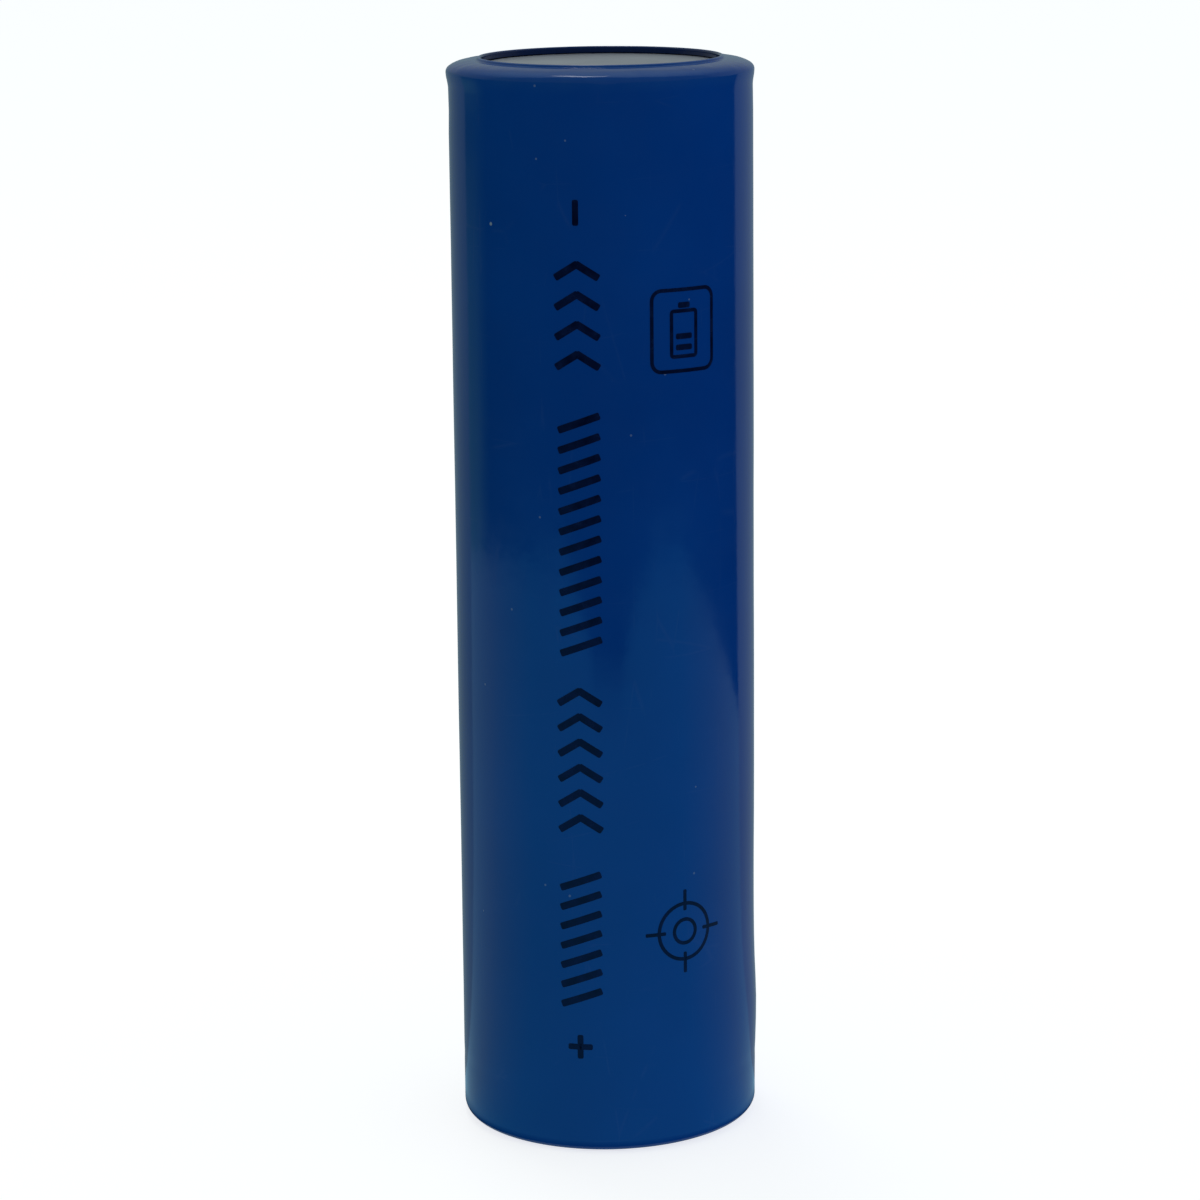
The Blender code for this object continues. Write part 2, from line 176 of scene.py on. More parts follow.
def apply_modifiers(piece: bpy.types.Object) -> None:
    """Apply a piece's modifiers in order."""
    select_only(piece)
    for modifier in list(piece.modifiers):
        bpy.ops.object.modifier_apply(modifier=modifier.name)


def joined(name: str, parts: list[bpy.types.Object]) -> bpy.types.Object:
    """Join parts into one object whose place is in its mesh.

    Args:
        name: The name of the joined object.
        parts: The objects to join.

    Returns:
        The joined object, at the origin.
    """
    select_only(parts[0])
    for part in parts:
        part.select_set(True)
    if len(parts) > 1:
        bpy.ops.object.join()
    bpy.ops.object.transform_apply(location=True, rotation=True, scale=True)
    return named(name)


def copy_of(pattern: bpy.types.Object, centre: Point, turn: float = 0.0) -> bpy.types.Object:
    """Copy a flat pattern with its own mesh.

    Args:
        pattern: The object to copy.
        centre: Where the copy's centre goes in the flat, in millimetres.
        turn: Its turn in the flat, in degrees.

    Returns:
        The copy.
    """
    select_only(pattern)
    bpy.ops.object.duplicate(linked=False)
    twin = bpy.context.object
    twin.location = (centre[0] * MM, centre[1] * MM, 0.0)
    twin.rotation_euler = (0.0, 0.0, math.radians(turn))
    return twin


def discard(piece: bpy.types.Object) -> None:
    """Remove a pattern or cutter that has done its work."""
    bpy.data.objects.remove(piece)


def turned(name: str, outline: list[Point], steps: int, on_axis: bool = False) -> bpy.types.Object:
    """Draw an outline one vertex at a time and spin it about the cell's axis.

    Args:
        name: The piece's name.
        outline: Radius and height of each corner, in millimetres, round the section.
        steps: Number of steps in the full turn.
        on_axis: True if the outline starts and ends on the axis, so that it isn't joined up.

    Returns:
        The closed, turned piece.
    """
    bpy.ops.object.select_all(action="DESELECT")
    bpy.ops.mesh.primitive_plane_add(size=MM)
    piece = named(name)
    with editing(piece):
        bpy.ops.mesh.merge(type="CENTER")
        bpy.ops.transform.translate(value=(outline[0][0] * MM, 0.0, outline[0][1] * MM))
        for before, after in zip(outline, outline[1:]):
            step = ((after[0] - before[0]) * MM, 0.0, (after[1] - before[1]) * MM)
            bpy.ops.mesh.extrude_vertices_move(TRANSFORM_OT_translate={"value": step})
        if not on_axis:
            pick_vertices(piece, lambda vertex: len(vertex.link_edges) == 1)
            bpy.ops.mesh.edge_face_add()
        bpy.ops.mesh.select_all(action="SELECT")
        bpy.ops.mesh.spin(steps=steps, angle=2 * math.pi, center=(0, 0, 0), axis=(0, 0, 1))
        bpy.ops.mesh.select_all(action="SELECT")
        bpy.ops.mesh.remove_doubles(threshold=1e-6)
        bpy.ops.mesh.normals_make_consistent(inside=False)
    return piece


def smooth(piece: bpy.types.Object, angle: float = 30.0) -> None:
    """Shade a piece smooth, with its sharper edges kept."""
    select_only(piece)
    bpy.ops.object.shade_smooth_by_angle(angle=math.radians(angle))


def dress(piece: bpy.types.Object, material: bpy.types.Material) -> None:
    """Give a piece its only material."""
    piece.data.materials.clear()
    piece.data.materials.append(material)


# ------------------------------------------------------------------ finishes


@dataclass
class Graph:
    """A node tree under construction."""

    tree: bpy.types.NodeTree

    def add(self, kind: str, inputs: dict | None = None, **settings: object) -> bpy.types.Node:
        """Add a node.

        Args:
            kind: The node's type, without its ShaderNode prefix.
            inputs: A value or an output socket for each named or numbered input.
            **settings: The node's own settings.

        Returns:
            The new node.
        """
        prefix = "" if kind.startswith("NodeGroup") else "ShaderNode"
        node = self.tree.nodes.new(prefix + kind)
        for name, value in settings.items():
            setattr(node, name, value)
        for socket, value in (inputs or {}).items():
            if isinstance(value, bpy.types.NodeSocket):
                self.tree.links.new(value, node.inputs[socket])
            else:
                node.inputs[socket].default_value = value
        return node

    def maths(self, operation: str, first: object, second: object = 0.0) -> bpy.types.NodeSocket:
        """Combine two numbers.

        Args:
            operation: The operation's name.
            first: A number or a socket.
            second: A number or a socket.

        Returns:
            The result's socket.
        """
        return self.add("Math", {0: first, 1: second}, operation=operation).outputs[0]

    def spread(
        self, value: object, low: float, high: float, to_low: float, to_high: float
    ) -> bpy.types.NodeSocket:
        """Map a range of values to another, held at both ends.

        Args:
            value: The socket to map.
            low: Start of the range.
            high: End of the range.
            to_low: What the start becomes.
            to_high: What the end becomes.

        Returns:
            The mapped socket.
        """
        inputs = {"Value": value, 1: low, 2: high, 3: to_low, 4: to_high}
        return self.add("MapRange", inputs).outputs[0]

    def blend(self, share: object, first: object, second: object) -> bpy.types.NodeSocket:
        """Mix two colours.

        Args:
            share: How much of the second colour.
            first: A colour or a socket.
            second: A colour or a socket.

        Returns:
            The mixed colour's socket.
        """
        first = (*first, 1.0) if isinstance(first, tuple) else first
        second = (*second, 1.0) if isinstance(second, tuple) else second
        return self.add("Mix", {0: share, 6: first, 7: second}, data_type="RGBA").outputs[2]

    def place(self, scale: tuple[float, float, float] = (1.0, 1.0, 1.0)) -> bpy.types.NodeSocket:
        """Read the piece's own coordinates in millimetres, stretched as asked.

        Args:
            scale: Extra scale along each axis.

        Returns:
            The coordinates' socket.
        """
        source = self.add("TexCoord").outputs["Object"]
        size = tuple(value / MM for value in scale)
        return self.add("Mapping", {"Vector": source, "Scale": size}).outputs[0]

    def from_axis(self, where: object) -> bpy.types.NodeSocket:
        """Measure the distance from the cell's axis.

        Args:
            where: The coordinates' socket.

        Returns:
            The distance's socket.
        """
        flat = self.add("VectorMath", {0: where, 1: (1.0, 1.0, 0.0)}, operation="MULTIPLY").outputs[0]
        return self.add("VectorMath", {0: flat}, operation="LENGTH").outputs["Value"]

    def height(self, where: object) -> bpy.types.NodeSocket:
        """Measure the height above the cell's foot."""
        return self.add("SeparateXYZ", {0: where}).outputs[2]

    def grain(self, where: object, scale: float, detail: float = 3.0) -> bpy.types.NodeSocket:
        """Read a noise pattern's value.

        Args:
            where: The coordinates' socket.
            scale: Features per millimetre.
            detail: Octaves of finer noise.

        Returns:
            The value's socket, around a half.
        """
        return self.add("TexNoise", {"Vector": where, "Scale": scale, "Detail": detail}).outputs[0]

    def use(self, group: bpy.types.NodeTree, inputs: dict) -> bpy.types.Node:
        """Place a shared group in this tree.

        Args:
            group: The group.
            inputs: Its inputs by name.

        Returns:
            The group's node.
        """
        return self.add("Group", inputs, node_tree=group)


class Effect(Enum):
    """Effects that several finishes share, each built once as a node group."""

    DUST = "settled_dust"
    SCRATCHES = "fine_scratches"
    MOTTLE = "soft_mottle"
    LATHE = "turning_marks"


EFFECT_SOCKETS: dict[Effect, tuple[dict[str, str], dict[str, str]]] = {
    Effect.DUST: ({"Where": "Vector", "Spacing": "Float", "Size": "Float"}, {"Mask": "Float"}),
    Effect.SCRATCHES: ({"Where": "Vector", "Spacing": "Float", "Amount": "Float"}, {"Mask": "Float"}),
    Effect.MOTTLE: (
        {"Where": "Vector", "Dark": "Color", "Light": "Color", "Spacing": "Float"},
        {"Colour": "Color", "Value": "Float"},
    ),
    Effect.LATHE: ({"Where": "Vector", "Spacing": "Float"}, {"Height": "Float"}),
}


@dataclass
class EffectShelf:
    """Builds each shared effect the first time that it is asked for."""

    built: dict[Effect, bpy.types.NodeTree] = field(default_factory=dict)

    def get(self, effect: Effect) -> bpy.types.NodeTree:
        """Hand out an effect's group.

        Args:
            effect: The effect.

        Returns:
            Its node group.
        """
        if effect not in self.built:
            tree = bpy.data.node_groups.new(effect.value, "ShaderNodeTree")
            inputs, outputs = EFFECT_SOCKETS[effect]
            for name, kind in inputs.items():
                tree.interface.new_socket(name, in_out="INPUT", socket_type=f"NodeSocket{kind}")
            for name, kind in outputs.items():
                tree.interface.new_socket(name, in_out="OUTPUT", socket_type=f"NodeSocket{kind}")
            graph = Graph(tree)
            entry = graph.add("NodeGroupInput")
            makers = {
                Effect.DUST: self.dust,
                Effect.SCRATCHES: self.scratches,
                Effect.MOTTLE: self.mottle,
                Effect.LATHE: self.lathe,
            }
            results = makers[effect](graph, entry.outputs)
            graph.add("NodeGroupOutput", dict(zip(outputs, results)))
            self.built[effect] = tree
        return self.built[effect]

    def dust(self, graph: Graph, given: bpy.types.NodeOutputs) -> list[bpy.types.NodeSocket]:
        """Scatter small round specks, thinned out in patches.

        Args:
            graph: The group's tree.
            given: The group's inputs.

        Returns:
            The specks' mask.
        """
        cells = graph.add("TexVoronoi", {"Vector": given["Where"], "Scale": given["Spacing"]})
        near = graph.maths("LESS_THAN", cells.outputs["Distance"], given["Size"])
        chance = graph.add("SeparateColor", {0: cells.outputs["Color"]}).outputs[0]
        kept = graph.maths("GREATER_THAN", chance, 0.72)
        return [graph.maths("MULTIPLY", near, kept)]

    def scratches(self, graph: Graph, given: bpy.types.NodeOutputs) -> list[bpy.types.NodeSocket]:
        """Draw hair-thin broken lines in two directions.

        Args:
            graph: The group's tree.
            given: The group's inputs.

        Returns:
            The lines' mask.
        """
        masks = []
        for turn, stretch in ((0.35, (1.0, 1.0, 0.12)), (-0.9, (0.16, 0.16, 1.0))):
            rotation = (turn, turn * 0.6, turn * 0.4)
            inputs = {"Vector": given["Where"], "Rotation": rotation, "Scale": stretch}
            where = graph.add("Mapping", inputs).outputs[0]
            cells = graph.add(
                "TexVoronoi", {"Vector": where, "Scale": given["Spacing"]}, feature="DISTANCE_TO_EDGE"
            )
            line = graph.spread(cells.outputs["Distance"], 0.0, 0.012, 1.0, 0.0)
            broken = graph.spread(graph.grain(given["Where"], 0.35, 2.0), 0.53, 0.62, 0.0, 1.0)
            masks.append(graph.maths("MULTIPLY", line, broken))
        both = graph.maths("MAXIMUM", masks[0], masks[1])
        return [graph.maths("MULTIPLY", both, given["Amount"])]

    def mottle(self, graph: Graph, given: bpy.types.NodeOutputs) -> list[bpy.types.NodeSocket]:
        """Drift between two tones in soft clouds.

        Args:
            graph: The group's tree.
            given: The group's inputs.

        Returns:
            The colour, and the pattern's value.
        """
        cloud = graph.add("TexNoise", {"Vector": given["Where"], "Scale": given["Spacing"], "Detail": 4.0})
        value = graph.spread(cloud.outputs[0], 0.3, 0.7, 0.0, 1.0)
        return [graph.blend(value, given["Dark"], given["Light"]), value]

    def lathe(self, graph: Graph, given: bpy.types.NodeOutputs) -> list[bpy.types.NodeSocket]:
        """Draw fine rings about the cell's axis.

        Args:
            graph: The group's tree.
            given: The group's inputs.

        Returns:
            The rings' height.
        """
        where = given["Where"]
        along = graph.add("CombineXYZ", {0: graph.from_axis(where), 1: graph.height(where)}).outputs[0]
        rings = graph.add("TexNoise", {"Vector": along, "Scale": given["Spacing"], "Detail": 5.0})
        return [rings.outputs[0]]


SHELF = EffectShelf()


@dataclass(frozen=True)
class Surface:
    """The constants that a finish sets straight on its shader."""

    metallic: float = 0.0
    specular: float = 0.5
    coat: float = 0.0
    coat_roughness: float = 0.1


def new_material(name: str, surface: Surface) -> tuple[bpy.types.Material, Graph, bpy.types.Node]:
    """Start a material with its constants set.

    Args:
        name: The material's name.
        surface: Its constants.

    Returns:
        The material, its tree, and its shader.
    """
    material = bpy.data.materials.new(name)
    material.use_nodes = True
    shader = material.node_tree.nodes["Principled BSDF"]
    shader.inputs["Metallic"].default_value = surface.metallic
    shader.inputs["Specular IOR Level"].default_value = surface.specular
    shader.inputs["Coat Weight"].default_value = surface.coat
    shader.inputs["Coat Roughness"].default_value = surface.coat_roughness
    return material, Graph(material.node_tree), shader


def connect(graph: Graph, shader: bpy.types.Node, sockets: dict[str, bpy.types.NodeSocket]) -> None:
    """Link sockets to the shader's named inputs.

    Args:
        graph: The material's tree.
        shader: Its shader.
        sockets: An output socket for each input's name.
    """
    for name, socket in sockets.items():
        graph.tree.links.new(socket, shader.inputs[name])


def bumped(graph: Graph, height: bpy.types.NodeSocket, depth: float) -> bpy.types.NodeSocket:
    """Turn a height into a normal.

    Args:
        graph: The material's tree.
        height: The height's socket, from 0 to 1.
        depth: What a height of 1 means, in millimetres.

    Returns:
        The normal's socket.
    """
    return graph.add("Bump", {"Height": height, "Distance": depth * MM, "Strength": 1.0}).outputs[0]


@dataclass(frozen=True)
class FilmFinish:
    """Glossy shrink film: dyed right through, faintly rippled, paler where it is stretched, with painted
    shade on the inner face of its lip.
    """

    name: str = "sleeve_film"
    deep: Colour = (0.0004, 0.060, 0.335)
    light: Colour = (0.0008, 0.072, 0.385)
    stretched: Colour = (0.020, 0.115, 0.400)
    dust: Colour = (0.30, 0.42, 0.55)
    stretch_heights: Point = (64.1, 65.3)
    # painted shade: the dark colour that the inner face of the lip is blended towards, standing in for the
    # shade inside the rolled lip
    inside: Colour = (0.0002, 0.008, 0.060)
    inner_shade_radii: Point = (7.13, 7.22)
    upper_part: Point = (60.0, 61.0)
    # a small pale speck at one place on the front of the film, drawn in the dust's colour
    pale_speck: tuple[float, float, float] = (-6.5, -6.37, 56.4)
    pale_speck_radius: float = 0.13
    roughness: Point = (0.08, 0.13)
    scratch_roughness: float = 0.18
    stretch_roughness: float = 0.03
    relief_depth: float = 0.006

    def build(self) -> bpy.types.Material:
        """Make the film's material.

        Returns:
            The material.
        """
        material, graph, shader = new_material(self.name, Surface(specular=0.34))
        where = graph.place()
        inputs = {"Where": where, "Dark": (*self.deep, 1), "Light": (*self.light, 1), "Spacing": 0.09}
        tone = graph.use(SHELF.get(Effect.MOTTLE), inputs)
        height = graph.height(where)
        # painted shade: darken the film's inner face near the lip, inside the given radii and above the
        # upper part's heights
        inside = graph.spread(graph.from_axis(where), *self.inner_shade_radii, 0.85, 0.0)
        inside = graph.maths("MULTIPLY", inside, graph.spread(height, *self.upper_part, 0.0, 1.0))
        patchy = graph.spread(graph.grain(where, 0.8, 3.0), 0.35, 0.7, 0.45, 1.0)
        worn = graph.maths("MULTIPLY", graph.spread(height, *self.stretch_heights, 0.0, 0.6), patchy)
        colour = graph.blend(worn, tone.outputs["Colour"], self.stretched)
        colour = graph.blend(inside, colour, self.inside)
        lines = graph.use(SHELF.get(Effect.SCRATCHES), {"Where": where, "Spacing": 0.30, "Amount": 0.3})
        specks = graph.use(SHELF.get(Effect.DUST), {"Where": where, "Spacing": 0.55, "Size": 0.045})
        # the small pale speck at its one place, blended in the dust's colour
        away = graph.add("VectorMath", {0: where, 1: self.pale_speck}, operation="DISTANCE").outputs["Value"]
        spot = graph.spread(away, self.pale_speck_radius * 0.5, self.pale_speck_radius, 1.0, 0.0)
        marks = graph.maths("MAXIMUM", graph.maths("MULTIPLY", specks.outputs["Mask"], 0.30), spot)
        marks = graph.maths("MAXIMUM", marks, graph.maths("MULTIPLY", lines.outputs["Mask"], 0.05))
        colour = graph.blend(marks, colour, self.dust)
        scored = graph.maths("MULTIPLY", lines.outputs["Mask"], self.scratch_roughness)
        rough = graph.spread(graph.grain(where, 0.5, 4.0), 0.3, 0.7, *self.roughness)
        rough = graph.maths("ADD", rough, scored)
        rough = graph.maths("ADD", rough, graph.maths("MULTIPLY", worn, self.stretch_roughness))
        peel = graph.maths("MULTIPLY", graph.grain(where, 1.1, 2.0), 0.55)
        drawn = graph.maths("MULTIPLY", graph.grain(graph.place((1.0, 1.0, 0.03)), 2.2, 2.0), 0.25)
        relief = graph.maths("ADD", peel, drawn)
        relief = graph.maths("SUBTRACT", relief, graph.maths("MULTIPLY", lines.outputs["Mask"], 0.3))
        normal = bumped(graph, relief, self.relief_depth)
        connect(graph, shader, {"Base Color": colour, "Roughness": rough, "Normal": normal})
        return material


@dataclass(frozen=True)
class InkFinish:
    """Dark printing ink, a little thin in places."""

    name: str = "printing_ink"
    solid: Colour = (0.0004, 0.0040, 0.030)
    thin: Colour = (0.0005, 0.0100, 0.065)
    roughness: Point = (0.20, 0.30)
    relief_depth: float = 0.002

    def build(self) -> bpy.types.Material:
        """Make the ink's material.

        Returns:
            The material.
        """
        material, graph, shader = new_material(self.name, Surface(specular=0.15))
        where = graph.place()
        inputs = {"Where": where, "Dark": (*self.solid, 1), "Light": (*self.thin, 1), "Spacing": 1.3}
        tone = graph.use(SHELF.get(Effect.MOTTLE), inputs)
        pores = graph.use(SHELF.get(Effect.DUST), {"Where": where, "Spacing": 9.0, "Size": 0.16})
        open_share = graph.maths("MULTIPLY", pores.outputs["Mask"], 0.5)
        colour = graph.blend(open_share, tone.outputs["Colour"], self.thin)
        rough = graph.spread(tone.outputs["Value"], 0.0, 1.0, *self.roughness)
        relief = graph.maths("ADD", graph.grain(where, 7.0, 2.0), pores.outputs["Mask"])
        normal = bumped(graph, relief, self.relief_depth)
        connect(graph, shader, {"Base Color": colour, "Roughness": rough, "Normal": normal})
        return material


@dataclass(frozen=True)
class MetalFinish:
    """A drawn or pressed metal sheet with fine turning marks and handling scratches, and a painted shade
    ring where shade radii are given.
    """

    name: str
    dark: Colour
    light: Colour
    roughness: Point = (0.30, 0.42)
    mark_spacing: float = 6.0
    mark_depth: float = 0.0015
    # painted shade: radii and dark colour of a ring darkened on the upper part, standing in for the shade
    # where the can's base meets the sleeve's lip
    shade_radii: Point | None = None
    shade: Colour = (0.02, 0.03, 0.06)
    upper_part: Point = (60.0, 61.0)

    def build(self) -> bpy.types.Material:
        """Make the metal's material.

        Returns:
            The material.
        """
        material, graph, shader = new_material(self.name, Surface(metallic=1.0))
        where = graph.place()
        inputs = {"Where": where, "Dark": (*self.dark, 1), "Light": (*self.light, 1), "Spacing": 0.22}
        tone = graph.use(SHELF.get(Effect.MOTTLE), inputs)
        rings = graph.use(SHELF.get(Effect.LATHE), {"Where": where, "Spacing": self.mark_spacing})
        lines = graph.use(SHELF.get(Effect.SCRATCHES), {"Where": where, "Spacing": 0.8, "Amount": 1.0})
        scored = graph.maths("MULTIPLY", lines.outputs["Mask"], 0.25)
        colour = graph.blend(scored, tone.outputs["Colour"], self.light)
        # painted shade: darken a ring of the base just inside the sleeve's lip
        if self.shade_radii:
            above = graph.spread(graph.height(where), *self.upper_part, 0.0, 1.0)
            beside = graph.spread(graph.from_axis(where), *self.shade_radii, 0.0, 0.8)
            colour = graph.blend(graph.maths("MULTIPLY", beside, above), colour, self.shade)
        rough = graph.spread(rings.outputs["Height"], 0.3, 0.7, *self.roughness)
        relief = graph.maths("SUBTRACT", rings.outputs["Height"], lines.outputs["Mask"])
        normal = bumped(graph, relief, self.mark_depth)
        connect(graph, shader, {"Base Color": colour, "Roughness": rough, "Normal": normal})
        return material


@dataclass(frozen=True)
class SheetFinish:
    """A card, plastic or film sheet with a soft drift of tone, fibres or pores, and dust."""

    name: str
    dark: Colour
    light: Colour
    roughness: Point = (0.55, 0.75)
    grain_spacing: float = 3.0
    grain_stretch: tuple[float, float, float] = (1.0, 1.0, 1.0)
    grain_depth: float = 0.006
    coat: float = 0.0

    def build(self) -> bpy.types.Material:
        """Make the sheet's material.

        Returns:
            The material.
        """
        material, graph, shader = new_material(self.name, Surface(coat=self.coat))
        where = graph.place()
        inputs = {"Where": where, "Dark": (*self.dark, 1), "Light": (*self.light, 1), "Spacing": 0.5}
        tone = graph.use(SHELF.get(Effect.MOTTLE), inputs)
        specks = graph.use(SHELF.get(Effect.DUST), {"Where": where, "Spacing": 1.4, "Size": 0.07})
        fibres = graph.grain(graph.place(self.grain_stretch), self.grain_spacing, 4.0)
        marks = graph.maths("MULTIPLY", specks.outputs["Mask"], 0.35)
        colour = graph.blend(marks, tone.outputs["Colour"], self.dark)
        rough = graph.spread(fibres, 0.3, 0.7, *self.roughness)
        normal = bumped(graph, fibres, self.grain_depth)
        connect(graph, shader, {"Base Color": colour, "Roughness": rough, "Normal": normal})
        return material


# the can's base gets a ring of painted shade just inside the sleeve's lip
NICKEL = MetalFinish("nickel_plate", (0.545, 0.515, 0.52), (0.655, 0.63, 0.63), shade_radii=(6.75, 7.08))

INNER_FINISHES: dict[str, MetalFinish | SheetFinish] = {
    "aluminium": MetalFinish("aluminium", (0.74, 0.75, 0.76), (0.84, 0.85, 0.86), (0.26, 0.38)),
    "pin_steel": MetalFinish("pin_steel", (0.50, 0.49, 0.47), (0.62, 0.61, 0.59), (0.34, 0.48), 3.0),
    "insulating_card": SheetFinish(
        "insulating_card", (0.70, 0.70, 0.65), (0.84, 0.84, 0.80), (0.78, 0.92), 2.4, (1.0, 0.35, 1.0), 0.012
    ),
    "seal_plastic": SheetFinish("seal_plastic", (0.55, 0.60, 0.62), (0.66, 0.70, 0.72), (0.36, 0.5), 1.5),
    "current_limiter": SheetFinish(
        "current_limiter", (0.020, 0.020, 0.020), (0.045, 0.044, 0.042), (0.6, 0.8), 5.0
    ),
    "separator_film": SheetFinish(
        "separator_film", (0.82, 0.82, 0.80), (0.92, 0.92, 0.90), (0.42, 0.6), 4.0, (1.0, 1.0, 0.1), 0.003
    ),
    "cathode_coating": SheetFinish(
        "cathode_coating", (0.035, 0.035, 0.040), (0.060, 0.060, 0.066), (0.74, 0.9), 8.0, grain_depth=0.004
    ),
    "anode_coating": SheetFinish(
        "anode_coating", (0.014, 0.014, 0.016), (0.030, 0.030, 0.033), (0.6, 0.8), 8.0, grain_depth=0.004
    ),
    "amber_tape": SheetFinish(
        "amber_tape", (0.62, 0.30, 0.03), (0.80, 0.44, 0.07), (0.18, 0.3), 1.2, (1.0, 1.0, 0.2), 0.003, 0.4
    ),
}


# ------------------------------------------------------------------ sleeve


@dataclass(frozen=True)
class Bulge:
    """A soft bulge in the film's wall, or a dent where its depth is below 0."""

    depth: float
    angle: float
    height: float
    half_height: float
    half_angle: float | None = None

    def reach(self, angle: float, height: float) -> float:
        """Say how far the wall moves outwards at a place.

        Args:
            angle: Degrees round the cell from the front, towards +X.
            height: Millimetres above the foot.

        Returns:
            The move in millimetres.
        """
        if self.half_angle is None:
            around = max(math.cos(math.radians(angle - self.angle)), 0.0)
        else:
            around = hump(self.angle, self.half_angle, angle)
        return self.depth * around * hump(self.height, self.half_height, height)


@dataclass
class ShrinkSleeve:
    """The printed film's carrier: a tube shrunk over the can, folded under it and free at its lip.

    Heights and radii are in millimetres from the cell's foot and axis.
    """

    radius: float = 9.10
    wall: float = 0.10
    fold_face: float = 0.06
    fold_radius: float = 0.80
    fold_mouth: float = 6.4
    neck_height: float = 3.75
    neck_half_width: float = 0.70
    neck_depth: float = 0.012
    swell: float = 0.125
    swell_height: float = 0.95
    shoulder_height: float = 0.70
    shoulder_power: float = 2.4
    shoulder_drop: float = 0.86
    shoulder_end: float = 7.5
    lip_radius: float = 7.10
    lip_roll: float = 0.14
    lip_drop: float = 0.38
    steps: int = 240
    bulges: tuple[Bulge, ...] = (
        Bulge(-0.045, 90, 64.6, 0.8),
        Bulge(-0.040, -90, 62.9, 0.75),
        Bulge(0.115, 82, 6.9, 2.6, 42),
        Bulge(-0.030, 90, 14.5, 4.5),
    )
    ripple_depth: float = 0.014
    fine_ripple_depth: float = 0.004
    ripple_sink: float = 0.012
    foot_lift: float = 0.100
    foot_drop: float = 0.054
    gather_depth: float = 0.035
    top: float = field(init=False)
    shoulder_foot: float = field(init=False)
    piece: bpy.types.Object | None = None

    def __post_init__(self) -> None:
        """Read the lip's height from the frame, and hang the shoulder from it."""
        self.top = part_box("shrink_sleeve")[1][2] / MM
        self.shoulder_foot = self.top - self.shoulder_drop

    def outer_line(self) -> list[Point]:
        """Draw the film's outer face, from its mouth under the cell to the foot of its rolled lip.

        Returns:
            The line's points.
        """
        swell_foot = self.shoulder_foot - self.swell_height
        neck_low = self.neck_height - self.neck_half_width
        neck_high = self.neck_height + self.neck_half_width
        fold_centre = (self.radius - self.fold_radius, self.fold_face + self.fold_radius)
        line = [(self.fold_mouth, self.fold_face)]
        line += straight_line(line[0], (fold_centre[0], self.fold_face), 6)
        line += arc_line(fold_centre, (self.fold_radius,) * 2, -90, 0, 16)
        line += straight_line(line[-1], (self.radius, neck_low), 3)
        for step in range(13):
            turn = 2 * math.pi * step / 12
            depth = self.neck_depth * (1 - math.cos(turn)) / 2
            line.append((self.radius - depth, neck_low + (neck_high - neck_low) * step / 12))
        line += straight_line(line[-1], (self.radius, swell_foot), 44)
        for step in range(9):
            share = step / 9
            out = self.swell * ease(0, 1, share)
            line.append((self.radius + out, swell_foot + self.swell_height * share))
        width = self.radius + self.swell - self.lip_radius
        last = math.acos(((self.shoulder_end - self.lip_radius) / width) ** (self.shoulder_power / 2))
        for step in range(31):
            turn = last * step / 30
            reach = width * math.cos(turn) ** (2 / self.shoulder_power)
            rise = self.shoulder_height * math.sin(turn) ** (2 / self.shoulder_power)
            line.append((self.lip_radius + reach, self.shoulder_foot + rise))
        roll_centre = (self.lip_radius + self.lip_roll, self.top - self.lip_roll)
        roll = arc_line(roll_centre, (self.lip_roll,) * 2, 25, 180, 12)
        low = line[-1]
        line += [(low[0] - 0.07, low[1] + 0.008), (low[0] - 0.115, low[1] + 0.035)]
        line += roll
        lip_foot = (self.lip_radius + 0.01, self.top - self.lip_drop)
        line += straight_line(roll[-1], lip_foot, 4)
        line.append(lip_foot)
        return line

    def shift(self, angle: float, radius: float, height: float) -> Point:
        """Say how far the film at a place leaves its even shape.

        Args:
            angle: Degrees round the cell from the front, towards +X.
            radius: Millimetres from the axis.
            height: Millimetres above the foot.

        Returns:
            How far it moves outwards and upwards, in millimetres.
        """
        turn = math.radians(angle)
        way = Vector((math.sin(turn), math.cos(turn), 0.0))
        out = sum(bulge.reach(angle, height) for bulge in self.bulges)
        out -= self.tightened(way, radius, height)
        out += self.rippled(way, height) * ease(7.6, 8.9, radius)
        corner = ease(8.4, 8.9, radius) * ease(64.7, 65.0, height)
        crease = 0.022 * hump(-6.5, 5.5, angle) * hump(65.09, 0.07, height)
        out += corner * (crease - 0.030 * hump(1.5, 3.5, angle))
        up = self.puckered(way, radius, height) - 0.030 * hump(17.0, 11.0, angle) * corner
        return out, up + self.settled(way, radius, height)

    def tightened(self, way: Vector, radius: float, height: float) -> float:
        """Say how much of the shoulder's swell the front of the film is pulled in by.

        Args:
            way: Unit direction from the axis, as right and front.
            radius: Millimetres from the axis.
            height: Millimetres above the foot.

        Returns:
            The move inwards in millimetres.
        """
        swollen = self.swell * ease(self.shoulder_foot - self.swell_height, self.shoulder_foot, height)
        return swollen * ease(0.35, 0.9, max(way.y, 0.0)) * ease(7.3, 8.4, radius)

    def rippled(self, way: Vector, height: float) -> float:
        """Say how far the wall's long and fine ripples move it.

        Args:
            way: Unit direction from the axis, as right and front.
            height: Millimetres above the foot.

        Returns:
            The move outwards in millimetres.
        """
        long = noise.noise(Vector((way.x * 1.6, way.y * 1.6, height * 0.09)))
        fine = noise.noise(Vector((way.x * 5.0, way.y * 5.0, height * 0.32 + 7.0)))
        moved = self.ripple_depth * long + self.fine_ripple_depth * fine - self.ripple_sink
        return ease(3.0, 8.0, height) * moved

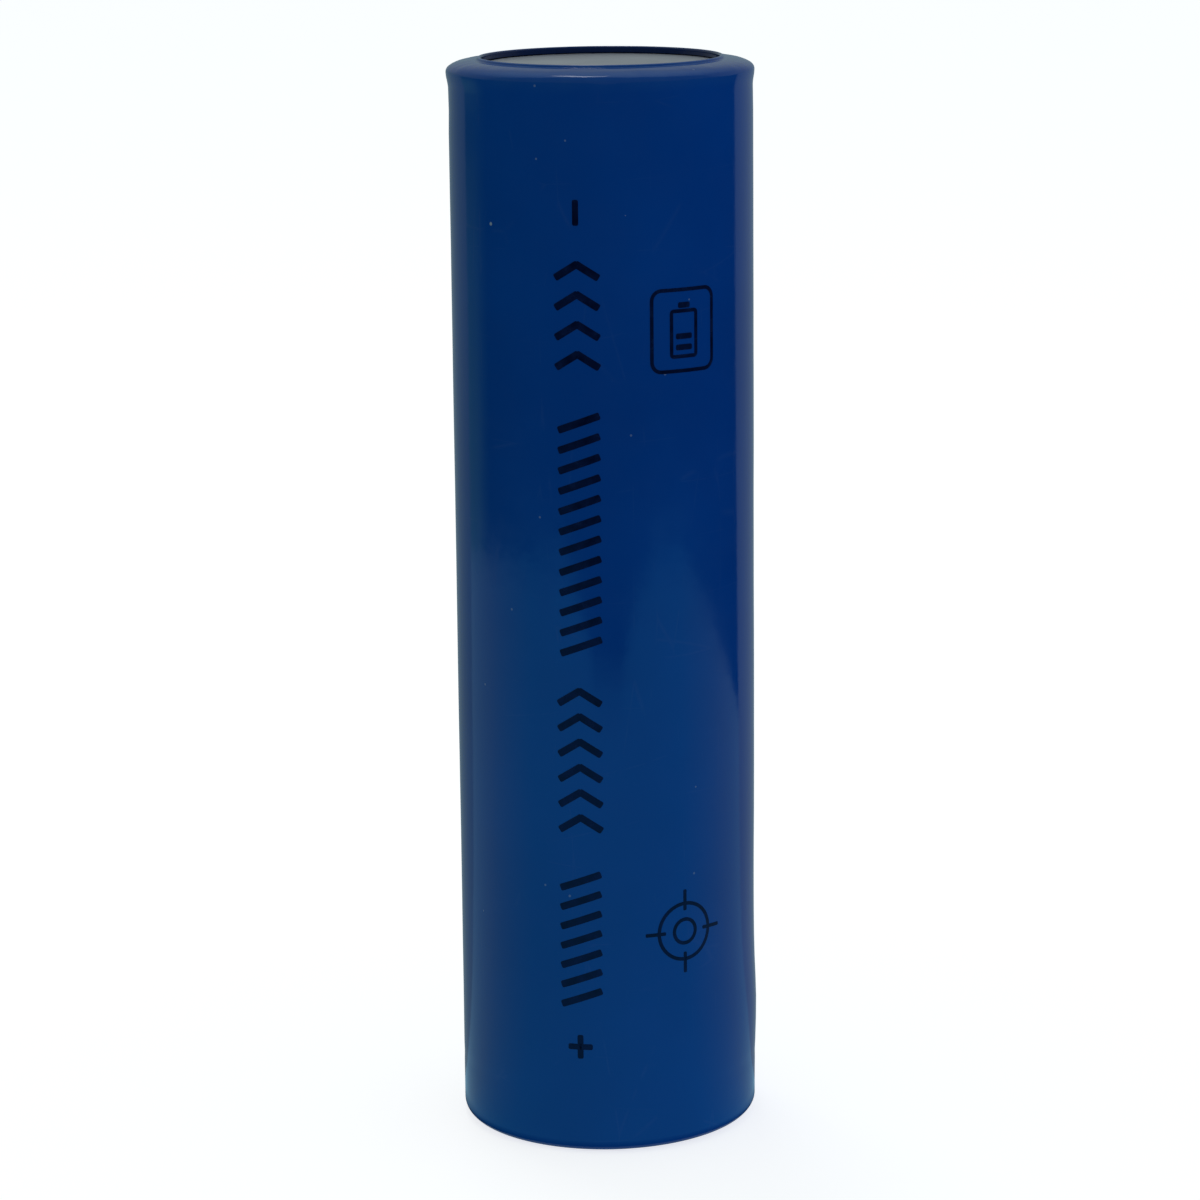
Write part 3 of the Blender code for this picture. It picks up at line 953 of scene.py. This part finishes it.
    def puckered(self, way: Vector, radius: float, height: float) -> float:
        """Say how far the shoulder's pleats and puckers lift it.

        Args:
            way: Unit direction from the axis, as right and front.
            radius: Millimetres from the axis.
            height: Millimetres above the foot.

        Returns:
            The move upwards in millimetres.
        """
        pleat = noise.noise(Vector((way.x * 16.0, way.y * 16.0, radius * 0.5)))
        pucker = noise.noise(Vector((way.x * 5.0 + 3.0, way.y * 5.0, 1.0)))
        shoulder = ease(64.2, 64.9, height) * ease(7.55, 8.2, radius)
        return shoulder * (0.012 * pleat + 0.018 * pucker - 0.018)

    def settled(self, way: Vector, radius: float, height: float) -> float:
        """Say how far the film under the cell is tipped and gathered.

        The tip stays on the outer corner, clear of the card ring that lies on the fold.

        Args:
            way: Unit direction from the axis, as right and front.
            radius: Millimetres from the axis.
            height: Millimetres above the foot.

        Returns:
            The move upwards in millimetres.
        """
        tip = self.foot_lift * max(way.x, 0.0) - self.foot_drop * max(-way.x, 0.0)
        tip *= ease(1.5, 0.4, height) * ease(8.1, 8.5, radius)
        gather = noise.noise(Vector((way.x * 13.0, way.y * 13.0, radius * 0.25)))
        fold = ease(1.0, 0.3, height) * ease(8.9, 8.0, radius) * ease(8.6, 6.6, radius)
        return tip + fold * self.gather_depth * (gather + 0.7)

    def build(self) -> bpy.types.Object:
        """Turn the film, then let it settle as shrunk film does.

        Returns:
            The sleeve.
        """
        outer = self.outer_line()
        outline = outer + offset_line(outer, self.wall)[::-1]
        self.piece = turned("printed_sleeve", outline, self.steps)
        for vertex in self.piece.data.vertices:
            x, y, height = vertex.co / MM
            radius = math.hypot(x, y)
            out, up = self.shift(math.degrees(math.atan2(x, -y)), radius, height)
            scale = (radius + out) / radius
            vertex.co = Vector((x * scale, y * scale, height + up)) * MM
        smooth(self.piece, 60.0)
        return self.piece

    def finish(self, material: bpy.types.Material) -> None:
        """Dress the sleeve and put it in place of the frame's.

        Args:
            material: The film's material.
        """
        dress(self.piece, material)
        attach(self.piece, BODY)
        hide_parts("shrink_sleeve")
        log.info("%s: folded, swollen at the shoulder, lip rolled in", self.piece.name)


# ------------------------------------------------------------------ print


class Stroke(Enum):
    """Plain strokes that a row of the print is made of."""

    SLANT = "slant"
    CHEVRON = "chevron"


@dataclass(frozen=True)
class Row:
    """A run of equal strokes along the cell."""

    low: float
    high: float
    angle: float
    count: int
    stroke: Stroke


@dataclass
class Print:
    """The ink on the sleeve: polarity signs, rows of plain strokes, and two line figures.

    Marks are laid out flat, with the way round the cell as x and the height as y, then wrapped on.
    """

    sleeve: ShrinkSleeve
    line_width: float = 0.44
    row_height: float = 2.5
    figure_line: float = 0.22
    proud: float = 0.012
    thickness: float = 0.020
    corner: float = 0.10
    mesh_step: float = 0.25
    slant_turn: float = 20.0
    arm_length: float = 1.62
    arm_reach: float = 0.61
    arm_turn: float = 32.0
    sign_length: float = 1.50
    tick_reach: float = 1.95
    rows: tuple[Row, ...] = (
        Row(9.3, 17.8, -10.5, 7, Stroke.SLANT),
        Row(20.0, 29.3, -10.2, 6, Stroke.CHEVRON),
        Row(31.0, 45.6, -9.4, 12, Stroke.SLANT),
        Row(47.8, 54.8, -9.6, 4, Stroke.CHEVRON),
    )
    plus_place: Point = (-11.2, 6.8)
    minus_place: Point = (-9.85, 57.3)
    upper_figure_place: Point = (31.3, 50.25)
    lower_figure_place: Point = (30.5, 13.7)
    pieces: list[bpy.types.Object] = field(default_factory=list)

    def flat_x(self, angle: float) -> float:
        """Turn an angle round the cell into millimetres along the film."""
        return math.radians(angle) * self.sleeve.radius

    def bar(self, size: Point) -> bpy.types.Object:
        """Make one bar with rounded corners at the middle of the flat.

        Args:
            size: Its width and height.

        Returns:
            The bar.
        """
        cuts = [max(2, math.ceil(side / self.mesh_step) + 1) for side in size]
        bpy.ops.object.select_all(action="DESELECT")
        bpy.ops.mesh.primitive_grid_add(x_subdivisions=cuts[0], y_subdivisions=cuts[1], size=1.0)
        piece = named("bar")
        with editing(piece):
            bpy.ops.transform.resize(value=(size[0] * MM, size[1] * MM, 1.0))
            pick_vertices(piece, lambda vertex: len(vertex.link_edges) == 2)
            offset = min(self.corner, min(size) * 0.3) * MM
            bpy.ops.mesh.bevel(offset=offset, segments=3, affect="VERTICES")
        return piece

    def hoop(self, radius: float, width: float) -> bpy.types.Object:
        """Make a flat ring at the middle of the flat.

        Args:
            radius: Its outer radius.
            width: Its line's width.

        Returns:
            The ring.
        """
        bpy.ops.object.select_all(action="DESELECT")
        bpy.ops.mesh.primitive_circle_add(vertices=64, radius=(radius - width) * MM, fill_type="NOTHING")
        piece = named("hoop")
        grow = radius / (radius - width)
        with editing(piece):
            bpy.ops.mesh.extrude_region_move()
            bpy.ops.transform.resize(value=(grow, grow, 1.0), center_override=(0, 0, 0))
            bpy.ops.mesh.select_all(action="SELECT")
            bpy.ops.mesh.normals_make_consistent(inside=False)
        return piece

    def frame_of(self, size: Point, width: float, corner: float) -> bpy.types.Object:
        """Make a flat rounded frame at the middle of the flat.

        Args:
            size: Its outer width and height.
            width: Its line's width.
            corner: The radius of its corners.

        Returns:
            The frame.
        """
        bpy.ops.object.select_all(action="DESELECT")
        bpy.ops.mesh.primitive_plane_add(size=1.0)
        piece = named("frame")
        with editing(piece):
            bpy.ops.transform.resize(value=(size[0] * MM, size[1] * MM, 1.0))
            bpy.ops.mesh.bevel(offset=corner * MM, segments=6, affect="VERTICES")
            bpy.ops.mesh.inset(thickness=width * MM, depth=0.0)
            bpy.ops.mesh.delete(type="ONLY_FACE")
            mesh = bmesh.from_edit_mesh(piece.data)
            for edge in mesh.edges:
                edge.select = edge.calc_length() > 0.45 * MM
            bmesh.update_edit_mesh(piece.data)
            bpy.ops.mesh.subdivide(number_cuts=11)
        return piece

    def wrap(self, piece: bpy.types.Object) -> bpy.types.Object:
        """Wrap a flat mark round the sleeve and give it its ink's thickness.

        Args:
            piece: The flat mark.

        Returns:
            The same object, lying on the film.
        """
        reach = (self.sleeve.radius + 0.1) * MM
        for vertex in piece.data.vertices:
            turn = vertex.co.x / (self.sleeve.radius * MM)
            vertex.co = (reach * math.sin(turn), -reach * math.cos(turn), vertex.co.y)
        hold = piece.modifiers.new("lay_on_film", "SHRINKWRAP")
        hold.target = self.sleeve.piece
        hold.wrap_method = "NEAREST_SURFACEPOINT"
        hold.wrap_mode = "ABOVE_SURFACE"
        hold.offset = self.proud * MM
        ink = piece.modifiers.new("ink", "SOLIDIFY")
        ink.thickness = self.thickness * MM
        ink.offset = -1.0
        apply_modifiers(piece)
        smooth(piece, 40.0)
        return piece

    def build_rows(self) -> None:
        """Lay the polarity signs and the rows of strokes along the cell."""
        slant = self.bar((self.row_height * 1.06, self.line_width))
        arm = self.bar((self.arm_length, self.line_width))
        sign_width = self.line_width * 0.82
        short = self.bar((self.sign_length, sign_width))
        tall = self.bar((sign_width, self.sign_length))
        plus_x = self.flat_x(self.plus_place[0])
        minus_x = self.flat_x(self.minus_place[0])
        plus = [copy_of(bar, (plus_x, self.plus_place[1])) for bar in (short, tall)]
        minus = [copy_of(tall, (minus_x, self.minus_place[1]))]
        self.pieces.append(self.wrap(joined("print_plus_sign", plus)))
        self.pieces.append(self.wrap(joined("print_minus_sign", minus)))
        for number, row in enumerate(self.rows, 1):
            pitch = (row.high - row.low) / row.count
            middle = self.flat_x(row.angle)
            marks = []
            for step in range(row.count):
                height = row.low + pitch * (step + 0.5)
                if row.stroke is Stroke.SLANT:
                    marks.append(copy_of(slant, (middle, height), self.slant_turn))
                    continue
                for side in (-1, 1):
                    centre = (middle + side * self.arm_reach, height)
                    marks.append(copy_of(arm, centre, side * -self.arm_turn))
            self.pieces.append(self.wrap(joined(f"print_row_{number}", marks)))
        for pattern in (slant, arm, short, tall):
            discard(pattern)

    def build_upper_figure(self) -> None:
        """Lay the figure of a cell standing in a frame."""
        x, y = self.flat_x(self.upper_figure_place[0]), self.upper_figure_place[1]
        line = self.figure_line
        patterns = {
            "outside": self.frame_of((4.4, 5.0), line, 0.7),
            "body": self.frame_of((1.9, 2.9), line, 0.25),
            "nub": self.bar((0.8, 0.34)),
            "level": self.bar((1.1, 0.34)),
        }
        marks = [
            copy_of(patterns["outside"], (x, y)),
            copy_of(patterns["body"], (x, y - 0.2)),
            copy_of(patterns["nub"], (x, y + 1.48)),
            copy_of(patterns["level"], (x, y - 1.0)),
            copy_of(patterns["level"], (x, y - 0.35)),
        ]
        self.pieces.append(self.wrap(joined("print_cell_figure", marks)))
        for pattern in patterns.values():
            discard(pattern)

    def build_lower_figure(self) -> None:
        """Lay the figure of two hoops with four ticks."""
        x, y = self.flat_x(self.lower_figure_place[0]), self.lower_figure_place[1]
        patterns = {
            "outer": self.hoop(1.85, self.figure_line),
            "inner": self.hoop(0.85, self.figure_line),
            "tick": self.bar((self.figure_line, 1.3)),
        }
        marks = [copy_of(patterns["outer"], (x, y)), copy_of(patterns["inner"], (x, y))]
        for quarter in range(4):
            turn = math.radians(90 * quarter)
            centre = (x + self.tick_reach * math.sin(turn), y + self.tick_reach * math.cos(turn))
            marks.append(copy_of(patterns["tick"], centre, 90.0 * (quarter % 2)))
        self.pieces.append(self.wrap(joined("print_hoop_figure", marks)))
        for pattern in patterns.values():
            discard(pattern)

    def finish(self, material: bpy.types.Material) -> None:
        """Dress the marks and let them ride with the cell.

        Args:
            material: The ink's material.
        """
        for piece in self.pieces:
            dress(piece, material)
            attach(piece, BODY)
            log.info("%s: ink %.3f mm proud of the film", piece.name, self.proud)


# ------------------------------------------------------------------ metal and card


@dataclass
class SteelCan:
    """The drawn can: flat base up, beaded and crimped below. Its base is the negative terminal."""

    radius: float = 8.95
    wall: float = 0.25
    corner: float = 0.80
    contact_radius: float = 7.0
    contact_step: float = 0.05
    crimp_face: float = 0.56
    crimp_mouth: float = 6.3
    bead_height: float = 3.75
    bead_depth: float = 1.30
    bead_half_width: float = 0.68
    steps: int = 180
    piece: bpy.types.Object | None = None

    def build(self) -> bpy.types.Object:
        """Turn the can.

        Returns:
            The can.
        """
        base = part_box("steel_can")[1][2] / MM
        middle = self.radius - self.corner
        corner_high = (middle, base - self.contact_step - self.corner)
        line = [(self.crimp_mouth, self.crimp_face + 0.03), (self.crimp_mouth + 0.04, self.crimp_face)]
        line += arc_line((middle, self.crimp_face + self.corner), (self.corner,) * 2, -90, 0, 10)
        bead = (self.bead_depth, self.bead_half_width)
        line += arc_line((self.radius, self.bead_height), bead, 270, 90, 24)
        line += arc_line(corner_high, (self.corner,) * 2, 0, 90, 10)
        line += [(self.contact_radius + 0.06, base - 0.012), (self.contact_radius, base), (0.0, base)]
        inner = offset_line(line, self.wall)[::-1]
        inner[0] = (0.0, inner[0][1])
        self.piece = turned("nickelled_can", line[::-1] + inner[::-1], self.steps, on_axis=True)
        smooth(self.piece)
        return self.piece

    def finish(self, material: bpy.types.Material) -> None:
        """Dress the can and put it in place of the frame's.

        Args:
            material: The nickel plate's material.
        """
        dress(self.piece, material)
        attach(self.piece, BODY)
        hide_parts("steel_can")
        log.info("%s: %d steps round", self.piece.name, self.steps)


@dataclass
class PositiveEnd:
    """The positive terminal's cap with its gas vents, and the card ring round it."""

    button_radius: float = 4.2
    button_edge: float = 0.45
    slope: float = 0.75
    sheet: float = 0.30
    flange_height: float = 1.31
    flange_radius: float = 8.0
    vent_size: tuple[float, float, float] = (1.8, 1.5, 0.5)
    vent_height: float = 0.90
    vent_count: int = 4
    card_mouth: float = 5.0
    card_bevel: float = 0.05
    steps: int = 144
    cap: bpy.types.Object | None = None
    card: bpy.types.Object | None = None

    def build_cap(self) -> bpy.types.Object:
        """Turn the cap and punch its vents.

        Returns:
            The cap.
        """
        edge_centre = (self.button_radius - self.button_edge, self.button_edge)
        line = [(0.0, 0.0)]
        line += arc_line(edge_centre, (self.button_edge,) * 2, -90, -15, 9)
        knee = self.button_radius + self.slope
        line += [(knee - 0.12, self.flange_height - 0.11), (knee - 0.02, self.flange_height - 0.02)]
        line += [(knee + 0.12, self.flange_height), (self.flange_radius, self.flange_height)]
        inner = offset_line(line, self.sheet)
        inner[0] = (0.0, inner[0][1])
        self.cap = turned("vented_cap", line + inner[::-1], self.steps, on_axis=True)
        cutter = self.vent_cutter()
        for number in range(self.vent_count):
            turn = Matrix.Rotation(2 * math.pi * (number + 0.5) / self.vent_count, 4, "Z")
            tool = cutter.copy()
            tool.data = cutter.data.copy()
            tool.data.transform(turn)
            bpy.context.collection.objects.link(tool)
            punch = self.cap.modifiers.new(f"vent_{number}", "BOOLEAN")
            punch.operation = "DIFFERENCE"
            punch.solver = "EXACT"
            punch.object = tool
            apply_modifiers(self.cap)
            discard(tool)
        discard(cutter)
        smooth(self.cap)
        return self.cap

    def vent_cutter(self) -> bpy.types.Object:
        """Shape the punch that cuts one vent.

        Returns:
            The punch, on the cell's +X side.
        """
        bpy.ops.object.select_all(action="DESELECT")
        bpy.ops.mesh.primitive_cube_add(size=1.0)
        punch = named("vent_punch")
        reach = (self.button_radius + self.slope / 2) * MM
        with editing(punch):
            bpy.ops.transform.resize(value=tuple(side * MM for side in self.vent_size))
            bpy.ops.mesh.bevel(offset=0.15 * MM, segments=4, affect="EDGES")
            bpy.ops.transform.translate(value=(reach, 0.0, self.vent_height * MM))
        return punch

    def build_card(self) -> bpy.types.Object:
        """Turn the card ring, with its punched edges eased.

        Returns:
            The ring.
        """
        low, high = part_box("positive_card_ring")
        bottom, top, outer = low[2] / MM, high[2] / MM, high[0] / MM
        inner, bevel = self.card_mouth, self.card_bevel
        outline = [
            (inner + bevel, bottom),
            (outer - bevel, bottom),
            (outer, bottom + bevel),
            (outer, top - bevel),
            (outer - bevel, top),
            (inner + bevel, top),
            (inner, top - bevel),
            (inner, bottom + bevel),
        ]
        self.card = turned("terminal_card_ring", outline, self.steps)
        smooth(self.card)
        return self.card

    def finish(self, nickel: bpy.types.Material, card: bpy.types.Material) -> None:
        """Dress the cap and card and put them in place of the frame's.

        Args:
            nickel: The nickel plate's material.
            card: The card's material.
        """
        parts = (
            (self.cap, nickel, "positive_cap", "nickel_plate"),
            (self.card, card, "positive_card_ring", "insulating_card"),
        )
        for piece, material, node, slot in parts:
            dress(piece, material)
            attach(piece, BODY)
            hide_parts(node)
            log.info("%s: stands for %s", piece.name, node)


# ------------------------------------------------------------------ inside the can


@dataclass
class InnerParts:
    """The frame's own pieces inside the can, which keep their shapes and get finishes."""

    materials: dict[str, bpy.types.Material]

    def finish(self, shown_elsewhere: tuple[str, ...]) -> None:
        """Put the right finish in each kept piece's material slots.

        Args:
            shown_elsewhere: Names of the frame's pieces that are replaced.
        """
        for name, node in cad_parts.items():
            if name in shown_elsewhere:
                continue
            for slot in node.material_slots:
                finish = slot.material.name.split(".")[0]
                slot.material = self.materials[finish]
                log.info("%s: kept, finished as %s", name, finish)


# ------------------------------------------------------------------ studio


@dataclass
class Studio:
    """A pale floor, an even sky of soft light, one soft lamp overhead, and the camera."""

    camera_place: tuple[float, float, float] = (-0.33, -237.09, 84.17)
    camera_pitch: float = 12.301
    camera_roll: float = -0.559
    lens: float = 118.88
    sky_left: Colour = (0.270, 0.290, 0.250)
    sky_right: Colour = (0.285, 0.345, 0.405)
    gloss_front: Colour = (0.110, 0.130, 0.150)
    gloss_left: Colour = (0.150, 0.230, 0.240)
    gloss_right: Colour = (0.215, 0.290, 0.330)
    gloss_back: Colour = (0.255, 0.300, 0.320)
    gloss_top: Colour = (0.560, 0.760, 0.900)
    near_front: Colour = (0.080, 0.480, 0.900)
    near_side: Colour = (0.235, 0.435, 0.545)
    room_side: Colour = (0.090, 0.240, 0.150)
    card_height: float = -0.5
    card_hole: float = 9.0
    near_fade: Point = (9.2, 11.5)
    room_fade: Point = (250.0, 750.0)
    lamp_place: tuple[float, float, float] = (-60.0, 160.0, 600.0)
    lamp_size: float = 130.0
    lamp_power: float = 0.25
    floor_size: float = 8.0
    floor_paint: Colour = (0.80, 0.80, 0.80)
    floor_glow: float = 0.74
    edge_steps: int = 6
    room_edge: tuple[Point, ...] = (
        (-124, 186),
        (-34, 194),
        (-22, 176),
        (-8, 138),
        (10, 134),
        (24, 170),
        (40, 194),
        (58, 192),
        (92, 148),
        (126, 107),
    )
    room_depth: float = 3000.0

    def build(self) -> None:
        """Set the whole studio up."""
        self.build_floor()
        self.build_cards()
        self.build_sky()
        self.build_lamp()
        self.build_camera()
        bpy.context.scene.view_settings.view_transform = "Standard"
        log.info("studio: floor, sky, lamp and camera")

    def stage_plane(self, name: str, piece: bpy.types.Object, material: bpy.types.Material) -> None:
        """Name and dress a stage piece that only some rays see."""
        piece.name = name
        dress(piece, material)
        piece.visible_diffuse = piece.visible_shadow = piece.visible_transmission = False

    def build_floor(self) -> None:
        """Lay the pale floor, which takes the cell's soft shadow and can be seen through from below."""
        bpy.ops.object.select_all(action="DESELECT")
        bpy.ops.mesh.primitive_plane_add(size=self.floor_size, location=(0, 0, -0.02 * MM))
        material = bpy.data.materials.new("pale_floor")
        material.use_nodes = True
        graph = Graph(material.node_tree)
        paint = material.node_tree.nodes["Principled BSDF"]
        paint.inputs["Base Color"].default_value = (*self.floor_paint, 1.0)
        paint.inputs["Roughness"].default_value = 0.9
        paint.inputs["Specular IOR Level"].default_value = 0.0
        glow = graph.add("Emission", {"Color": (1.0, 1.0, 1.0, 1.0), "Strength": self.floor_glow})
        lifted = graph.add("AddShader", {0: paint.outputs[0], 1: glow.outputs[0]})
        behind = graph.add("NewGeometry").outputs["Backfacing"]
        clear = graph.add("BsdfTransparent")
        both = graph.add("MixShader", {0: behind, 1: lifted.outputs[0], 2: clear.outputs[0]})
        output = material.node_tree.nodes["Material Output"]
        material.node_tree.links.new(both.outputs[0], output.inputs["Surface"])
        floor = bpy.context.object
        self.stage_plane("pale_floor", floor, material)
        floor.visible_glossy = False

    def card_lines(self) -> tuple[list[Point], list[Point], list[Point]]:
        """Draw the near card's inner edge, the line where the two cards meet, and the far edge.

        Returns:
            The three lines, point by point round the cell from its left to its right.
        """
        inner, middle, outer = [], [], []
        for (angle, edge), (next_angle, next_edge) in zip(self.room_edge, self.room_edge[1:]):
            for step in range(self.edge_steps):
                share = step / self.edge_steps
                turn = math.radians(angle + (next_angle - angle) * share)
                reach = edge + (next_edge - edge) * share
                for line, distance in ((inner, self.card_hole), (middle, reach), (outer, self.room_depth)):
                    line.append((distance * math.sin(turn), -distance * math.cos(turn)))
        return inner, middle, outer

    def card_place(self, graph: Graph) -> tuple[bpy.types.NodeSocket, ...]:
        """Read where a place on a card lies from the cell.

        Args:
            graph: The card's material tree.

        Returns:
            Its distance in millimetres, then how far it lies right and back, each from -1 to 1.
        """
        place = graph.place()
        reach = graph.add("VectorMath", {0: place}, operation="LENGTH").outputs["Value"]
        way = graph.add("VectorMath", {0: place}, operation="NORMALIZE").outputs[0]
        parts = graph.add("SeparateXYZ", {0: way}).outputs
        return reach, parts[0], parts[1]

    def near_glow(self, graph: Graph) -> bpy.types.NodeSocket:
        """Mix the near floor's light: bluer in front, and dark right beside the cell.

        Args:
            graph: The card's material tree.

        Returns:
            The light's colour.
        """
        reach, _, behind = self.card_place(graph)
        glow = graph.blend(graph.spread(behind, -0.55, 0.15, 0.0, 1.0), self.near_front, self.near_side)
        return graph.blend(graph.spread(reach, *self.near_fade, 0.0, 1.0), (0, 0, 0), glow)

    def room_glow(self, graph: Graph) -> bpy.types.NodeSocket:
        """Mix the dark room's light: a faint glow on its left that dies away with distance.

        Args:
            graph: The card's material tree.

        Returns:
            The light's colour.
        """
        reach, across, behind = self.card_place(graph)
        share = graph.spread(behind, 0.12, 0.35, 0.0, 1.0)
        share = graph.maths("MULTIPLY", share, graph.spread(reach, *self.room_fade, 1.0, 0.25))
        share = graph.maths("MULTIPLY", share, graph.spread(across, -0.3, -0.5, 0.0, 1.0))
        return graph.blend(share, (0, 0, 0), self.room_side)

    def build_cards(self) -> None:
        """Lay the two cards that only the film's gloss sees: the near floor, and the dark room beyond."""
        inner, middle, outer = self.card_lines()
        count = len(inner)
        faces = [(k, k + 1, count + k + 1, count + k) for k in range(count - 1)]
        cards = (
            ("near_floor_card", inner + middle, self.near_glow),
            ("dark_room_card", middle + outer, self.room_glow),
        )
        for name, corners, glow in cards:
            mesh = bpy.data.meshes.new(name)
            mesh.from_pydata([(x * MM, y * MM, self.card_height * MM) for x, y in corners], [], faces)
            card = bpy.data.objects.new(name, mesh)
            bpy.context.scene.collection.objects.link(card)
            material, graph, shader = new_material(name, Surface(specular=0.0))
            shader.inputs["Base Color"].default_value = (0, 0, 0, 1)
            shader.inputs["Emission Strength"].default_value = 1.0
            connect(graph, shader, {"Emission Color": glow(graph)})
            self.stage_plane(name, card, material)
            card.visible_camera = False

    def build_sky(self) -> None:
        """Surround the cell with soft light, and show white wherever the camera sees past the floor."""
        world = bpy.data.worlds.new("soft_sky")
        bpy.context.scene.world = world
        world.use_nodes = True
        graph = Graph(world.node_tree)
        graph.tree.nodes.clear()
        way = graph.add("SeparateXYZ", {0: graph.add("TexCoord").outputs["Generated"]}).outputs
        across = graph.spread(way[0], -0.8, 0.8, 0.0, 1.0)
        even = graph.blend(across, self.sky_left, self.sky_right)
        side = graph.blend(across, self.gloss_left, self.gloss_right)
        back = graph.blend(graph.spread(way[2], 0.0, 0.25, 0.0, 1.0), side, self.gloss_back)
        back = graph.blend(graph.spread(way[2], 0.55, 0.97, 0.0, 1.0), back, self.gloss_top)
        gloss = graph.blend(graph.spread(way[1], -0.05, 0.05, 0.0, 1.0), self.gloss_front, back)
        light = graph.add("LightPath").outputs
        colour = graph.blend(light["Is Glossy Ray"], even, gloss)
        soft = graph.add("Background", {"Color": colour, "Strength": 1.0})
        white = graph.add("Background", {"Color": (1.0, 1.0, 1.0, 1.0), "Strength": 1.0})
        both = graph.add("MixShader", {0: light["Is Camera Ray"], 1: soft.outputs[0], 2: white.outputs[0]})
        graph.add("OutputWorld", {"Surface": both.outputs[0]})

    def build_lamp(self) -> None:
        """Hang the soft lamp."""
        data = bpy.data.lights.new("soft_lamp", "AREA")
        data.size = self.lamp_size * MM
        data.energy = self.lamp_power
        lamp = bpy.data.objects.new("soft_lamp", data)
        bpy.context.scene.collection.objects.link(lamp)
        lamp.location = Vector(self.lamp_place) * MM
        lamp.rotation_euler = (-lamp.location).to_track_quat("-Z", "Y").to_euler()
        lamp.visible_camera = False

    def build_camera(self) -> None:
        """Set the camera up, looking at the cell's front from a little above."""
        data = bpy.data.cameras.new("camera")
        data.lens = self.lens
        data.sensor_width = 36.0
        data.clip_start = 0.01
        data.clip_end = 20.0
        camera = bpy.data.objects.new("camera", data)
        bpy.context.scene.collection.objects.link(camera)
        tilt = Matrix.Rotation(math.radians(90 - self.camera_pitch), 4, "X")
        roll = Matrix.Rotation(math.radians(self.camera_roll), 4, "Z")
        camera.matrix_world = Matrix.Translation(Vector(self.camera_place) * MM) @ tilt @ roll
        bpy.context.scene.camera = camera


# ------------------------------------------------------------------ assembly


def main() -> None:
    """Build the studio, then the cell from the outside in."""
    logging.basicConfig(level=logging.INFO, format="%(message)s")
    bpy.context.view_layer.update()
    Studio().build()
    materials = {name: finish.build() for name, finish in INNER_FINISHES.items()}
    materials["nickel_plate"] = NICKEL.build()
    materials["sleeve_film"] = FilmFinish().build()
    sleeve = ShrinkSleeve()
    sleeve.build()
    sleeve.finish(materials["sleeve_film"])
    ink = Print(sleeve)
    ink.build_rows()
    ink.build_upper_figure()
    ink.build_lower_figure()
    ink.finish(InkFinish().build())
    can = SteelCan()
    can.build()
    can.finish(materials["nickel_plate"])
    end = PositiveEnd()
    end.build_cap()
    end.build_card()
    end.finish(materials["nickel_plate"], materials["insulating_card"])
    replaced = ("shrink_sleeve", "steel_can", "positive_cap", "positive_card_ring")
    InnerParts(materials).finish(replaced)


if __name__ == "__main__":
    main()
